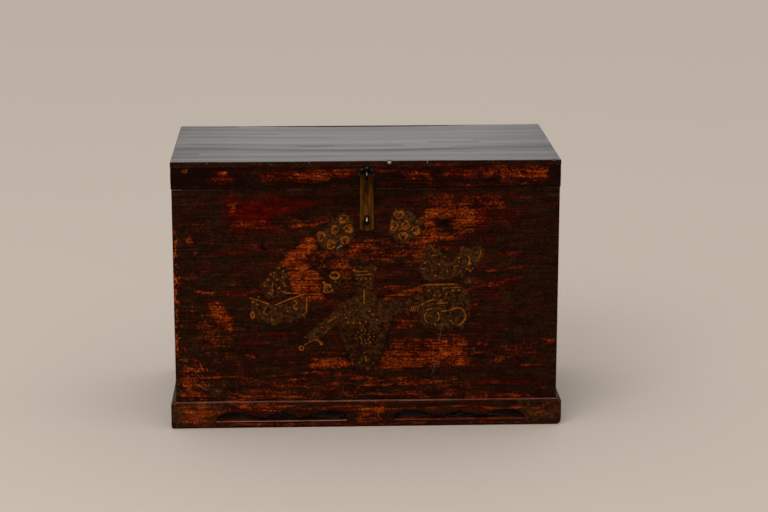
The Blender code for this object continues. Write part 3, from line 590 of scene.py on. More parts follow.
END_LIMIT = 0.97


def edge_drop(distance, radius):
    """How far a rounded edge lies under its face, at a distance in from the edge."""
    reach = np.clip(radius - distance, 0, radius)
    return radius - np.sqrt(np.maximum(radius**2 - reach**2, 0))


def fine_lines(low, high, step, low_round=0.0, high_round=0.0):
    """Grid lines from low to high, crowded where an end is rounded."""
    bend = 1 - np.cos(np.linspace(0, math.pi / 2, 6))
    start = low + low_round * bend[:-1] if low_round else np.array([])
    end = high - high_round * bend[-2::-1] if high_round else np.array([])
    inner_low = low + low_round
    inner_high = high - high_round
    count = max(2, int(round((inner_high - inner_low) / step)) + 1)
    return np.concatenate([start, np.linspace(inner_low, inner_high, count), end])


def linked(name, data):
    """A new object in the scene."""
    thing = bpy.data.objects.new(name, data)
    bpy.context.scene.collection.objects.link(thing)
    return thing


def smooth_mesh(name, vertices, faces, sharp_deg):
    """A mesh that is shaded smooth, with sharp edges where its faces turn by more than an angle."""
    mesh = bpy.data.meshes.new(name)
    mesh.from_pydata(vertices, [], faces)
    mesh.update()
    mesh.shade_smooth()
    mesh.set_sharp_from_angle(angle=math.radians(sharp_deg))
    return mesh


def in_frame(along, across, up):
    """Points of the frame, from millimetres along the chest, from front to back and up."""
    return np.stack(np.broadcast_arrays(along, across, up), axis=-1).reshape(-1, 3) * MM


def swept_piece(name, along, profile, normals, lift, corners):
    """A closed solid: a fine skin over a profile, carried along the chest, with plane faces behind it.

    profile and normals are (n, 2), lift is (n, number along). corners close the section behind the skin.
    """
    rows, columns = lift.shape
    across = profile[:, :1] + normals[:, :1] * lift
    up = profile[:, 1:] + normals[:, 1:] * lift
    behind = [in_frame(along[[0, -1]], *corner) for corner in corners]
    vertices = np.concatenate([in_frame(along, across, up)] + behind)
    index = np.arange(rows * columns).reshape(rows, columns)
    quads = [index[:-1, :-1], index[:-1, 1:], index[1:, 1:], index[1:, :-1]]
    faces = np.stack(quads, axis=-1).reshape(-1, 4).tolist()
    first = rows * columns
    pairs = [(first + 2 * k, first + 2 * k + 1) for k in range(len(corners))]
    faces.append(index[-1].tolist() + [pairs[0][1], pairs[0][0]])
    for (start, end), (next_start, next_end) in zip(pairs, pairs[1:]):
        faces.append([start, end, next_end, next_start])
    faces.append([pairs[-1][0], pairs[-1][1]] + index[0, ::-1].tolist())
    faces.append(index[::-1, 0].tolist() + [pair[0] for pair in reversed(pairs)])
    faces.append(index[:, -1].tolist() + [pair[1] for pair in pairs])
    return smooth_mesh(name, vertices, faces, 40)


def store_layers(mesh, paint):
    """Gives the skin's points their painted values, and the few points behind it a plain finish."""
    spare = len(mesh.vertices) - paint.x.size
    for layer, plain in Paint.LAYERS.items():
        values = np.concatenate([getattr(paint, layer).ravel(), np.full(spare, plain)])
        attribute = mesh.attributes.new(layer, "FLOAT", "POINT")
        attribute.data.foreach_set("value", values.astype(np.float32))


def add_piece(name, data, materials, body, node):
    thing = linked(name, data)
    for material in materials:
        data.materials.append(material)
    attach(thing, body)
    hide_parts(node)


def vectors(items, key):
    """A vector of every vertex or face of a mesh, as rows."""
    values = np.zeros(len(items) * 3)
    items.foreach_get(key, values)
    return values.reshape(-1, 3)


def set_materials(mesh, index):
    mesh.polygons.foreach_set("material_index", index.astype(np.int32))


def material_at_ends(mesh):
    """Gives a mesh's second material to the faces that look left or right."""
    set_materials(mesh, np.where(np.abs(vectors(mesh.polygons, "normal")[:, 0]) > END_LIMIT, 1, 0))


def materials_by_slope(mesh, limit):
    """Gives a mesh's second material to faces that look up, and a third to those that look down."""
    rise = vectors(mesh.polygons, "normal")[:, 2]
    index = np.where(rise > limit, 1, 0)
    if len(mesh.materials) > 2:
        index = np.where(rise < -limit, 2, index)
    set_materials(mesh, index)


# Material graphs

class Graph:
    """Adds nodes to one material. An input's value is a number, a colour or another node's socket."""

    def __init__(self, name):
        self.material = bpy.data.materials.new(name)
        self.material.use_nodes = True
        self.nodes = self.material.node_tree.nodes
        self.links = self.material.node_tree.links
        self.shader = self.nodes["Principled BSDF"]
        self.place = self.add("ShaderNodeTexCoord").outputs["Object"]

    def add(self, kind, inputs=(), **settings):
        node = self.nodes.new(kind)
        for key, value in settings.items():
            setattr(node, key, value)
        for key, value in dict(inputs).items():
            self.feed(node.inputs[key], value)
        return node

    def feed(self, socket, value):
        if isinstance(value, bpy.types.NodeSocket):
            self.links.new(value, socket)
        else:
            socket.default_value = value

    def math(self, operation, a, b=0.0, clamp=False):
        return self.add("ShaderNodeMath", {0: a, 1: b}, operation=operation, use_clamp=clamp).outputs[0]

    def scale(self, colour, factor):
        """A colour made brighter or darker."""
        inputs = {0: colour, "Scale": factor}
        return self.add("ShaderNodeVectorMath", inputs, operation="SCALE").outputs[0]

    def total(self, *parts, offset=0.0):
        """A weighted sum."""
        made = offset
        for socket, weight in parts:
            inputs = {0: socket, 1: weight, 2: made}
            made = self.add("ShaderNodeMath", inputs, operation="MULTIPLY_ADD").outputs[0]
        return made

    def times(self, a, b):
        return self.math("MULTIPLY", a, b)

    def vector(self, operation, a, b):
        """A number from two vectors."""
        return self.add("ShaderNodeVectorMath", {0: a, 1: b}, operation=operation).outputs["Value"]

    def blend(self, a, b, share):
        return self.add("ShaderNodeMix", {"Factor": share, 6: a, 7: b}, data_type="RGBA").outputs[2]

    def between(self, value, low, high, smooth=True):
        """0 at low, 1 at high."""
        inputs = {"Value": value, "From Min": low, "From Max": high}
        kind = "SMOOTHSTEP" if smooth else "LINEAR"
        return self.add("ShaderNodeMapRange", inputs, interpolation_type=kind).outputs["Result"]

    def noise(self, stretch, detail=4.0, roughness=0.55, shift=(0, 0, 0), distortion=0.0):
        """Noise whose cells are 1 / stretch metres long, spread to fill 0 to 1."""
        moved = self.add("ShaderNodeMapping", {"Vector": self.place, "Location": shift, "Scale": stretch})
        inputs = {"Vector": moved.outputs[0], "Scale": 1.0, "Detail": detail, "Roughness": roughness}
        inputs["Distortion"] = distortion
        made = self.add("ShaderNodeTexNoise", inputs).outputs["Fac"]
        return self.between(made, 0.28, 0.72, smooth=False)

    def layer(self, name):
        return self.add("ShaderNodeAttribute", attribute_name=name).outputs["Fac"]

    def part(self, axis):
        return self.add("ShaderNodeSeparateXYZ", {0: self.place}).outputs[axis]

    def inside(self, half_width, half_depth):
        """1 on the faces that look into the chest."""
        across = self.math("LESS_THAN", self.math("ABSOLUTE", self.part("X")), half_width)
        deep = self.math("LESS_THAN", self.math("ABSOLUTE", self.part("Y")), half_depth)
        return self.times(across, deep)

    def edges(self, radius):
        """1 along the object's own sharp edges."""
        rounded = self.add("ShaderNodeBevel", {"Radius": radius}, samples=6).outputs[0]
        true = self.add("ShaderNodeNewGeometry").outputs["True Normal"]
        return self.between(self.vector("DOT_PRODUCT", rounded, true), 0.985, 0.80)

    def shade(self, colour, rough, specular, height, relief):
        """Feeds the shader, with a relief in metres, and hands back the material."""
        bump = self.add("ShaderNodeBump", {"Height": height, "Distance": relief})
        inputs = {"Base Color": colour, "Roughness": rough, "Specular IOR Level": specular}
        inputs["Normal"] = bump.outputs["Normal"]
        for key, value in inputs.items():
            self.feed(self.shader.inputs[key], value)
        return self.material


DARK_DEEP = (0.0076, 0.0026, 0.0010, 1)
DARK_RED = (0.0360, 0.0040, 0.0024, 1)
DARK_OLIVE = (0.0262, 0.0128, 0.0042, 1)
DARK_BLOT = (0.0040, 0.0012, 0.0006, 1)
RED_DEEP = (0.0230, 0.0008, 0.0004, 1)
RED_BRIGHT = (0.1350, 0.0042, 0.0020, 1)
ORANGE_DEEP = (0.0900, 0.0070, 0.0011, 1)
ORANGE_BRIGHT = (0.4000, 0.0680, 0.0060, 1)
GOLD_DULL = (0.0650, 0.0235, 0.0056, 1)
GOLD_ORANGE = (0.2150, 0.0560, 0.0060, 1)
GOLD_BRIGHT = (0.3200, 0.1120, 0.0170, 1)
FILM_DARK = (0.0225, 0.0082, 0.0024, 1)
FILM_OLIVE = (0.0860, 0.0325, 0.0082, 1)
# Pale ground under the lacquer; on the plinth's ledges it is also a painted highlight
PALE_GROUND_AND_HIGHLIGHT = (0.4300, 0.3600, 0.3000, 1)
INK = (0.0060, 0.0018, 0.0008, 1)
WOOD_DARK = (0.1050, 0.0520, 0.0230, 1)
WOOD_LIGHT = (0.2600, 0.1550, 0.0760, 1)
BRASS_DARK = (0.021, 0.0075, 0.0006, 1)
BRASS_BRIGHT = (0.134, 0.0485, 0.0042, 1)
BRONZE_DARK = (0.002, 0.0017, 0.0016, 1)
BRONZE_BRIGHT = (0.058, 0.053, 0.048, 1)
LOOP_DARK_AND_SHADED = (0.030, 0.018, 0.009, 1)
LOOP_BRIGHT_AND_LIT = (1.0, 0.86, 0.66, 1)
IRON_DARK = (0.03, 0.027, 0.024, 1)
IRON_BRIGHT = (0.13, 0.12, 0.11, 1)

# Half width and half depth of the bare wood's space, reaching a little into the walls around it
INTO_WALL = 0.0005
CARCASE_INNER = (-FRONT_LOW.x - WALL + INTO_WALL, -FRONT_LOW.y - WALL + INTO_WALL)
LID_INNER = (-RIM_LOW.x - WALL + INTO_WALL, -RIM_LOW.y - WALL + INTO_WALL)
NO_INSIDE = (0.0, 0.0)


def along_grain(axis, long, across):
    """Noise stretch of a grain: long cells along an axis, short ones across it."""
    return (long if axis == "X" else across, long if axis == "Y" else across, across)


def wood_colour(graph, axis):
    """Aged bare wood: fine grain lines over broad bands."""
    lines = graph.noise(along_grain(axis, 5, 260), detail=5, shift=(3, 1, 7))
    bands = graph.noise(along_grain(axis, 1.6, 34), detail=3, distortion=0.6)
    return graph.blend(WOOD_DARK, WOOD_LIGHT, graph.total((lines, 0.55), (bands, 0.45))), lines


def lacquer_colours(graph, axis, red_level, orange_level):
    """Dark lacquer over red over orange, worn through in streaks along the grain."""
    long_streak = graph.noise(along_grain(axis, 7, 110), detail=6)
    short_streak = graph.noise(along_grain(axis, 24, 260), detail=4, shift=(11, 5, 3))
    mottle = graph.noise((55, 55, 85), detail=6, roughness=0.62, shift=(7, 3, 1), distortion=0.4)
    grit = graph.noise((230, 230, 290), detail=3, shift=(1, 6, 8))
    scratch = graph.noise(along_grain(axis, 12, 360), detail=3, shift=(5, 2, 13))
    tint = graph.noise(along_grain(axis, 26, 52), detail=4, roughness=0.65, shift=(2, 9, 4))
    speck = graph.noise((330, 330, 480), detail=2, shift=(9, 4, 2))
    red_noise = graph.total((long_streak, 0.40), (short_streak, 0.25), (mottle, 0.20), (grit, 0.15))
    orange_noise = graph.total((long_streak, 0.15), (short_streak, 0.25), (mottle, 0.25), (grit, 0.35))
    red_share = graph.between(graph.total((red_level, 1), (red_noise, 1.3)), 0.90, 1.60)
    orange_share = graph.between(graph.total((orange_level, 1), (orange_noise, 1.2)), 0.92, 1.55)
    dark_share = graph.total((short_streak, 0.25), (mottle, 0.40), (grit, 0.25), (long_streak, 0.10))
    hue = graph.total((tint, 0.45), (long_streak, 0.25), (scratch, 0.30))
    glow = graph.total((grit, 0.40), (short_streak, 0.25), (mottle, 0.35))
    brown = graph.blend(DARK_RED, DARK_OLIVE, graph.between(hue, 0.30, 0.68))
    red = graph.blend(RED_DEEP, RED_BRIGHT, graph.times(short_streak, mottle))
    orange = graph.blend(ORANGE_DEEP, ORANGE_BRIGHT, graph.between(glow, 0.25, 0.95))
    colour = graph.blend(DARK_DEEP, brown, graph.between(dark_share, 0.15, 0.90))
    colour = graph.blend(colour, red, red_share)
    colour = graph.blend(colour, orange, orange_share)
    colour = graph.blend(colour, DARK_DEEP, graph.times(graph.between(scratch, 0.58, 0.86), 0.75))
    colour = graph.scale(colour, graph.total((speck, 1.2), offset=0.42))
    return colour, short_streak, orange_share, grit


def top_gloss(graph):
    """Roughness of the lid's top: long streaks that are duller, most where the board is darkened."""
    broad = graph.noise(along_grain("X", 0.5, 42), detail=4, roughness=0.6, shift=(8, 1, 5))
    thin = graph.noise(along_grain("X", 1.6, 130), detail=3, shift=(2, 12, 6))
    return graph.total((broad, 0.13), (thin, 0.09), (graph.layer("dark"), 0.15), offset=0.13)


def painted_lacquer(name, specular, rough, inner_half=NO_INSIDE, streaked=False):
    """Lacquer with the painted layers of a piece: its wear, ornament, dark blots and pale chips."""
    graph = Graph(name)
    orange_level = graph.layer("orange")
    colour, fine, orange_share, grit = lacquer_colours(graph, "X", graph.layer("red"), orange_level)
    colour = graph.blend(colour, DARK_BLOT, graph.times(graph.layer("dark"), 0.95))
    broken = graph.noise((140, 140, 170), detail=4, shift=(5, 2, 9))
    film = graph.between(graph.total((graph.layer("film"), 1.0), (broken, 0.6)), 0.40, 1.15)
    film_glow = graph.between(graph.total((grit, 0.6), (broken, 0.4)), 0.15, 0.85)
    film_colour = graph.blend(FILM_DARK, FILM_OLIVE, film_glow)
    worn_film = graph.times(film, graph.between(orange_level, 0.3, 0.7))
    colour = graph.blend(colour, film_colour, graph.total((worn_film, -0.6), (film, 0.85)))
    ink = graph.between(graph.layer("ink"), 0.7, -0.7)
    colour = graph.blend(colour, INK, graph.times(ink, 0.8))
    gold_line = graph.layer("gold")
    beside = graph.between(gold_line, 2.6, 1.0)
    colour = graph.blend(colour, INK, graph.times(beside, 0.55))
    gold = graph.between(graph.total((gold_line, 1.0), (grit, 1.6)), 1.7, 0.3)
    gold_colour = graph.blend(GOLD_DULL, GOLD_ORANGE, graph.between(broken, 0.1, 0.6))
    gold_glow = graph.between(graph.total((broken, 0.5), (grit, 0.5)), 0.55, 0.95)
    gold_colour = graph.blend(gold_colour, GOLD_BRIGHT, gold_glow)
    colour = graph.blend(colour, gold_colour, graph.times(gold, 0.92))
    pale = graph.layer("pale")
    chipped = graph.math("MAXIMUM", graph.total((pale, 1.5), (grit, -0.5)), 0.0)
    colour = graph.blend(colour, PALE_GROUND_AND_HIGHLIGHT, graph.math("MULTIPLY", chipped, pale, clamp=True))
    colour = graph.blend(colour, wood_colour(graph, "X")[0], graph.inside(*inner_half))
    height = graph.total((fine, 0.5), (orange_share, -0.6), (gold, 0.8))
    if streaked:
        return graph.shade(colour, top_gloss(graph), specular, height, 0.0001)
    dull = graph.total((orange_share, 0.12), (fine, 0.14), offset=rough)
    return graph.shade(colour, dull, specular, height, 0.0003)


def plain_lacquer(name, axis, specular, inner_half=NO_INSIDE):
    """Lacquer without ornament, worn along its edges and most where the lid meets the carcase."""
    graph = Graph(name)
    cloud = graph.noise((4, 4, 6), detail=3, shift=(4, 8, 2))
    edges = graph.edges(0.0022)
    off_seam = graph.math("ABSOLUTE", graph.math("SUBTRACT", graph.part("Z"), RIM_LOW.z))
    seam = graph.between(off_seam, 0.0040, 0.0010)
    red_level = graph.total((cloud, 0.52), (edges, 0.50), (seam, 0.30))
    orange_level = graph.total((cloud, 0.22), (edges, 0.42), (seam, 0.34))
    colour, fine, orange_share, _ = lacquer_colours(graph, axis, red_level, orange_level)
    colour = graph.blend(colour, wood_colour(graph, axis)[0], graph.inside(*inner_half))
    dull = graph.total((orange_share, 0.15), (fine, 0.18), offset=0.34)
    return graph.shade(colour, dull, specular, graph.math("SUBTRACT", fine, orange_share), 0.00025)


def bare_wood(name, axis):
    graph = Graph(name)
    colour, lines = wood_colour(graph, axis)
    stain = graph.noise((9, 9, 9), detail=4, shift=(6, 1, 2))
    colour = graph.blend(colour, WOOD_DARK, graph.times(stain, 0.7))
    colour = graph.blend(colour, DARK_OLIVE, graph.times(graph.edges(0.0015), 0.5))
    return graph.shade(colour, graph.total((lines, 0.2), offset=0.62), 0.25, lines, 0.0003)


# Heights between which a piece of the hasp darkens, and the reach of the staple's painted shadow on the strap
# The strap and the other brass get darker from the lower to the upper of these heights
STRAP_DARKENING = (0.380, 0.442)
# Painted shade: the eye and the staple are lit above these heights and darker below them
EYE_PAINTED_SHADE = (EYE_LOW.z + 0.0062, EYE_LOW.z + 0.0040)
STAPLE_PAINTED_SHADE = (STAPLE_LOW.z + 0.0080, STAPLE_LOW.z + 0.0055)
ALL_HEIGHTS = (0.0, 0.1)
# Painted shadow of the staple: the metal darkens within this reach of a point a little left of and below its
# middle
STAPLE_SHADOW_MIDDLE = (STAPLE_LOW + STAPLE_HIGH) / 2 - Vector((0.002, 0, 0.005))
STAPLE_SHADOW_REACH = (0.0125, 0.0040)


def old_metal(name, dark, bright, rough, stretch, patina, shade=0.0, span=STRAP_DARKENING):
    """Tarnished metal: clouds of dark patina, rubbed edges and fine scratches."""
    graph = Graph(name)
    cloud = graph.noise(stretch, detail=5, roughness=0.6)
    scratch = graph.noise((900, 900, 60), detail=3, shift=(3, 3, 3))
    rubbed = graph.total((graph.edges(0.0012), 0.50), (graph.layer("rub"), 0.60))
    # Darker between two heights, which on the eye and the staple is painted shade under their lit tops
    in_darker_span = graph.between(graph.part("Z"), *span)
    # Painted shadow of the staple on the metal around it
    staple_shadow = graph.between(graph.vector("DISTANCE", graph.place, STAPLE_SHADOW_MIDDLE), *STAPLE_SHADOW_REACH)
    share = graph.total((cloud, 0.70), (scratch, 0.30), (rubbed, 1.0), (in_darker_span, shade), (staple_shadow, shade))
    colour = graph.blend(dark, bright, graph.between(share, 0.15, 0.95))
    graph.feed(graph.shader.inputs["Metallic"], graph.total((cloud, -patina), offset=1.0))
    height = graph.total((cloud, 1.0), (scratch, 0.4))
    return graph.shade(colour, graph.total((cloud, 0.2), offset=rough), 0.1, height, 0.0002)


# Brass of the eye and the staple: bright where lit above, painted shade below
def loop_brass(name, span):
    return old_metal(name, LOOP_DARK_AND_SHADED, LOOP_BRIGHT_AND_LIT, 0.22, (200, 200, 200), 0.1, -0.9, span)


front_lacquer = painted_lacquer("front_lacquer", 0.006, 0.45, CARCASE_INNER)
rim_lacquer = painted_lacquer("rim_lacquer", 0.006, 0.45, LID_INNER)
top_lacquer = painted_lacquer("top_lacquer", 0.3, 0.20, streaked=True)
plinth_lacquer = painted_lacquer("plinth_lacquer", 0.01, 0.45)
ledge_lacquer = painted_lacquer("ledge_lacquer", 0.03, 0.40)
side_lacquer = plain_lacquer("side_lacquer", "Y", 0.2, CARCASE_INNER)
rail_lacquer = plain_lacquer("rail_lacquer", "Y", 0.04)
back_lacquer = plain_lacquer("back_lacquer", "X", 0.2, CARCASE_INNER)
lid_side_lacquer = plain_lacquer("lid_side_lacquer", "Y", 0.2, LID_INNER)
lid_back_lacquer = plain_lacquer("lid_back_lacquer", "X", 0.2, LID_INNER)
wood_along = bare_wood("wood_along_chest", "X")
wood_across = bare_wood("wood_across_chest", "Y")
brass = old_metal("tarnished_brass_and_staple_shadow", BRASS_DARK, BRASS_BRIGHT, 0.42, (150, 60, 20), 0.25, -0.30)
bronze = old_metal("dark_bronze", BRONZE_DARK, BRONZE_BRIGHT, 0.36, (120, 120, 120), 0.3, -0.42, ALL_HEIGHTS)
eye_brass_painted_shade = loop_brass("brass_eye_painted_shade", EYE_PAINTED_SHADE)
staple_brass_painted_shade = loop_brass("brass_staple_painted_shade", STAPLE_PAINTED_SHADE)
iron = old_metal("dull_iron", IRON_DARK, IRON_BRIGHT, 0.5, (150, 150, 150), 0.3)


# Front boards, in millimetres

FRONT_STEP = 1.2
FRONT_HALF = 328.6
ARRIS_ROUND = 2.6
SEAM_ROUND = 0.8
HIGHEST_RISE = 0.45


def board_face(name, node, body, materials, wear, half_width, face, low_edge, high_edge):
    """A board whose front is a fine skin with worn arrises. An edge is a height and its rounding."""
    low, low_round = low_edge
    high, high_round = high_edge
    along = fine_lines(-half_width, half_width, FRONT_STEP, ARRIS_ROUND, ARRIS_ROUND)
    up = fine_lines(low, high, FRONT_STEP, low_round, high_round)
    x, z = np.meshgrid(along, up)
    paint = Paint(x, z)
    wear(paint)
    ragged = fractal(x * 0 + 3, z / 9, 5) + 0.6 * fractal(x * 0 + 8, z / 2.5, 9)
    radius = ARRIS_ROUND * (0.55 + 0.35 * ragged)
    end = half_width - np.abs(x)
    rise = -np.minimum(edge_drop(end, radius), ARRIS_ROUND)
    for distance, rounding in ((z - low, low_round), (high - z, high_round)):
        if rounding:
            rise -= edge_drop(distance, rounding)
    inner = smooth_step(0.5, 5.0, end)
    rise += inner * 0.5 * (fractal(x / 160, z / 60, 21) - 0.5)
    rise += inner * 0.22 * (fractal(x / 40, z / 4, 31) - 0.5)
    rise -= inner * 0.30 * paint.orange * fractal(x / 9, z / 5, 41)
    rise += inner * 0.30 * smooth_step(0.6, -0.6, paint.gold) + inner * 0.12 * paint.film
    rise = np.minimum(rise, HIGHEST_RISE)
    profile = np.stack([np.full(len(up), face), up], axis=-1)
    normals = np.tile([-1.0, 0.0], (len(up), 1))
    back = face + WALL / MM
    mesh = swept_piece(name, along, profile, normals, rise, [(back, high), (back, low)])
    store_layers(mesh, paint)
    add_piece(name, mesh, materials, body, node)
    material_at_ends(mesh)


def wear_arris(paint, half_width):
    """Chips and rubbed lacquer along the upright edges, and on the left more than on the right."""
    end = half_width - np.abs(paint.x)
    ragged = fractal(paint.x / 5, paint.z / 6, 51)
    left = paint.x < 0
    rub = smooth_step(7, 0, end) * (0.25 + 0.5 * ragged)
    span = smooth_step(100, 140, paint.z) * smooth_step(365, 330, paint.z)
    paint.lift("orange", rub * np.where(left, 0.38 + 0.22 * span, 0.40))
    flecks = fractal(paint.x / 2.4, paint.z / 5.0, 61) + 0.10 * smooth_step(12, 4, end)
    band = smooth_step(17, 4, end)
    paint.lift("orange", band * smooth_step(0.50, 0.70, flecks) * np.where(left, span, 0.3))
    paint.lift("pale", 0.10 * band * smooth_step(0.66, 0.80, flecks) * np.where(left, span, 1))


def wear_carcase(paint):
    wear_front(paint)
    draw_ornament(paint)
    wear_arris(paint, FRONT_HALF)
    top = smooth_step(1.5, 0.3, FRONT_HIGH.z / MM - paint.z)
    broken = smooth_step(0.35, 0.6, fractal(paint.x / 26, paint.z * 0, 121))
    end = smooth_step(-300, -316, paint.x)
    paint.lift("pale", top * np.maximum(0.32 * broken, 0.6 * end))


def build_front():
    joint = (BOARD_JOINT / MM, 0)
    boards = (
        ("lower", (FRONT_LOW.z / MM, SEAM_ROUND), joint),
        ("upper", joint, (FRONT_HIGH.z / MM, SEAM_ROUND)),
    )
    for board, low_edge, high_edge in boards:
        board_face(f"front_{board}_panel", f"front_{board}_board", "carcase", [front_lacquer, side_lacquer],
                   wear_carcase, FRONT_HALF, FRONT_LOW.y / MM, low_edge, high_edge)


# Lid, in millimetres

RIM_HALF = 329.6
RIM_TOP_ROUND = 0.5
RIM_PATCHES = [
    ([(-313, 455), (-299, 455), (-301, 447), (-313, 448)], 3, 0.74, 0.60),
    ([(-252, 453), (-236, 450), (-230, 442), (-250, 440)], 3, 0.94, 0.56),
    ([(-272, 442), (-226, 444), (-222, 430), (-268, 428)], 5, 0.94, 0.42),
    ([(-180, 446), (-106, 452), (-68, 452), (-64, 436), (-96, 430), (-182, 432)], 5, 0.99, 0.44),
    ([(-126, 450), (-60, 450), (-54, 431), (-110, 432)], 4, 1.04, 0.66),
    ([(-60, 455), (-12, 455), (-12, 438), (-62, 432)], 5, 0.99, 0.46),
    ([(14, 453), (46, 453), (46, 446), (14, 444)], 4, 0.84, 0.44),
    ([(62, 450), (108, 448), (108, 434), (64, 433)], 4, 0.94, 0.54),
    ([(126, 454), (186, 453), (186, 436), (128, 436)], 4, 0.99, 0.49),
    ([(186, 456), (222, 456), (220, 434), (190, 434)], 5, 0.94, 0.52),
    ([(222, 457), (310, 455), (306, 430), (224, 428)], 5, 0.99, 0.58),
]
RIM_LINES = [
    ([(-190, 433), (-80, 433)], 1.8, 0.8, 0.40),
    ([(20, 429), (140, 430)], 1.8, 0.7, 0.34),
    ([(130, 425), (300, 426)], 1.8, 0.7, 0.34),
    ([(-328, 425), (-280, 425)], 1.8, 0.6, 0.34),
]
RIM_LEFT_SCUFFS = [(-176, 446), (-106, 452), (-14, 455), (-14, 436), (-178, 432)]
RIM_RIGHT_SCUFFS = [(190, 456), (310, 456), (306, 432), (192, 434)]


def wear_rim(paint):
    left = smooth_step(-190, -240, paint.x)
    paint.red += 0.20 - 0.12 * left
    paint.orange += 0.16 - 0.06 * left
    paint.dark += 0.58 + 0.20 * left
    paint.wear(RIM_PATCHES, RIM_LINES, [])
    paint.dark *= 1 - smooth_step(0.16, 0.50, paint.orange)
    paint.scuffs(RIM_RIGHT_SCUFFS, 60, 12, -40, 0.62, 304)
    paint.scuffs(RIM_LEFT_SCUFFS, 60, 10, 15, 0.72, 305)
    paint.scuffs(RIM_RIGHT_SCUFFS, 40, 12, -40, 0.65, 306, "dark")
    paint.scuffs(RIM_LEFT_SCUFFS, 50, 12, 25, 0.65, 307, "dark")
    wear_arris(paint, RIM_HALF)
    seam = smooth_step(1.6, 0.3, RIM_HIGH.z / MM - paint.z)
    broken = smooth_step(0.45, 0.65, fractal(paint.x / 30, paint.z * 0, 71))
    paint.lift("pale", 0.25 * seam * broken)


def round_profile(points, radii, steps):
    """Fine points and outward normals along a section with rounded corners. Left of travel is outward."""
    made, normals = [], []
    points = [np.array(p, float) for p in points]
    for number in range(len(points) - 1):
        start, end = points[number], points[number + 1]
        way = (end - start) / np.linalg.norm(end - start)
        out = np.array([-way[1], way[0]])
        near = start + way * radii[number]
        far = end - way * radii[number + 1]
        count = max(2, int(round(np.linalg.norm(far - near) / steps[number])) + 1)
        for share in np.linspace(0, 1, count):
            made.append(near + (far - near) * share)
            normals.append(out)
        if number + 2 < len(points) and radii[number + 1]:
            following = points[number + 2] - end
            following /= np.linalg.norm(following)
            turn_out = np.array([-following[1], following[0]])
            centre = far - out * radii[number + 1]
            for share in np.linspace(0, math.pi / 2, 6)[1:-1]:
                normal = out * math.cos(share) + turn_out * math.sin(share)
                made.append(centre + normal * radii[number + 1])
                normals.append(normal)
    return np.array(made), np.array(normals)


TOP_ROUND = 2.6
TOP_STEP = 2.4
TOP_EDGE_STEP = 0.9
TOP_LENGTH_STEP = 1.6
TOP_STREAKS = [
    ([(-332, -56), (-215, -58), (-140, -68), (-40, -74), (35, -74), (90, -70), (152, -65), (200, -60),
      (332, -52)], 9, 0.75),
    ([(-310, -48), (-225, -56)], 7, 1.0),
    ([(-112, -30), (-83, -34), (-55, -25)], 5, 1.0),
    ([(-304, -10), (-41, -26), (60, -30)], 8, 0.45),
    ([(60, -72), (110, -70), (150, -66)], 6, 0.9),
    ([(120, 3), (200, 0)], 6, 0.6),
    ([(200, 19), (320, 15)], 6, 0.6),
    ([(-322, -102), (-290, -103)], 6, 0.7),
    ([(-328, 168), (-230, 165)], 7, 0.8),
    ([(-327, 95), (-160, 92)], 8, 0.35),
    ([(-308, 64), (-58, 49)], 6, 0.30),
    ([(160, -50), (330, -40)], 10, 0.5),
]

# Chips of the front edge: middle, half length, depth and how pale each is
EDGE_CHIPS = [(39, 4.2, 2.6, 1.0), (-268, 1.8, 0.8, 0.4), (-96, 1.6, 0.7, 0.35), (103, 1.8, 0.9, 0.6),
              (214, 1.6, 0.7, 0.35), (-30, 1.4, 0.6, 0.3), (318, 5.0, 1.6, 0.05)]
CHIP_INSET = 2.2


def top_sag(x, y):
    """How far the lid's top has warped and worn under its highest plane."""
    back = smooth_step(TOP_LOW.y / MM, TOP_BACK_HIGH.y / MM, y)
    middle = np.cos(np.clip(x * MM / TOP_HIGH.x, -1, 1) * math.pi / 2)
    hump = np.exp(-((x + 235) / 36) ** 2)
    return back * (2.3 * middle - 1.2 * hump * middle) + 0.5 * fractal(x / 120, y / 40, 81) + 0.1


def chip_edge(paint, rise, x, behind, above):
    """Chips the front plank's edge, at places behind its face and above its underside, over a pale line."""
    under = (TOP_HIGH.z - TOP_LOW.z) / MM - above
    away = np.hypot(np.maximum(behind - CHIP_INSET, 0), np.maximum(under - CHIP_INSET, 0))
    edge = smooth_step(5.5, 1.0, away)
    for middle, half_length, depth, pale in EDGE_CHIPS:
        chip = smooth_step(half_length, 0.4 * half_length, np.abs(x - middle)) * edge
        rise -= depth * chip
        paint.lift("pale", pale * chip)
    line = smooth_step(2.5, 0.6, above) * (behind < 5)
    broken = np.maximum(smooth_step(0.42, 0.6, fractal(x / 34, x * 0, 97)), smooth_step(-200, -212, x))
    paint.lift("pale", 0.22 * line * broken)


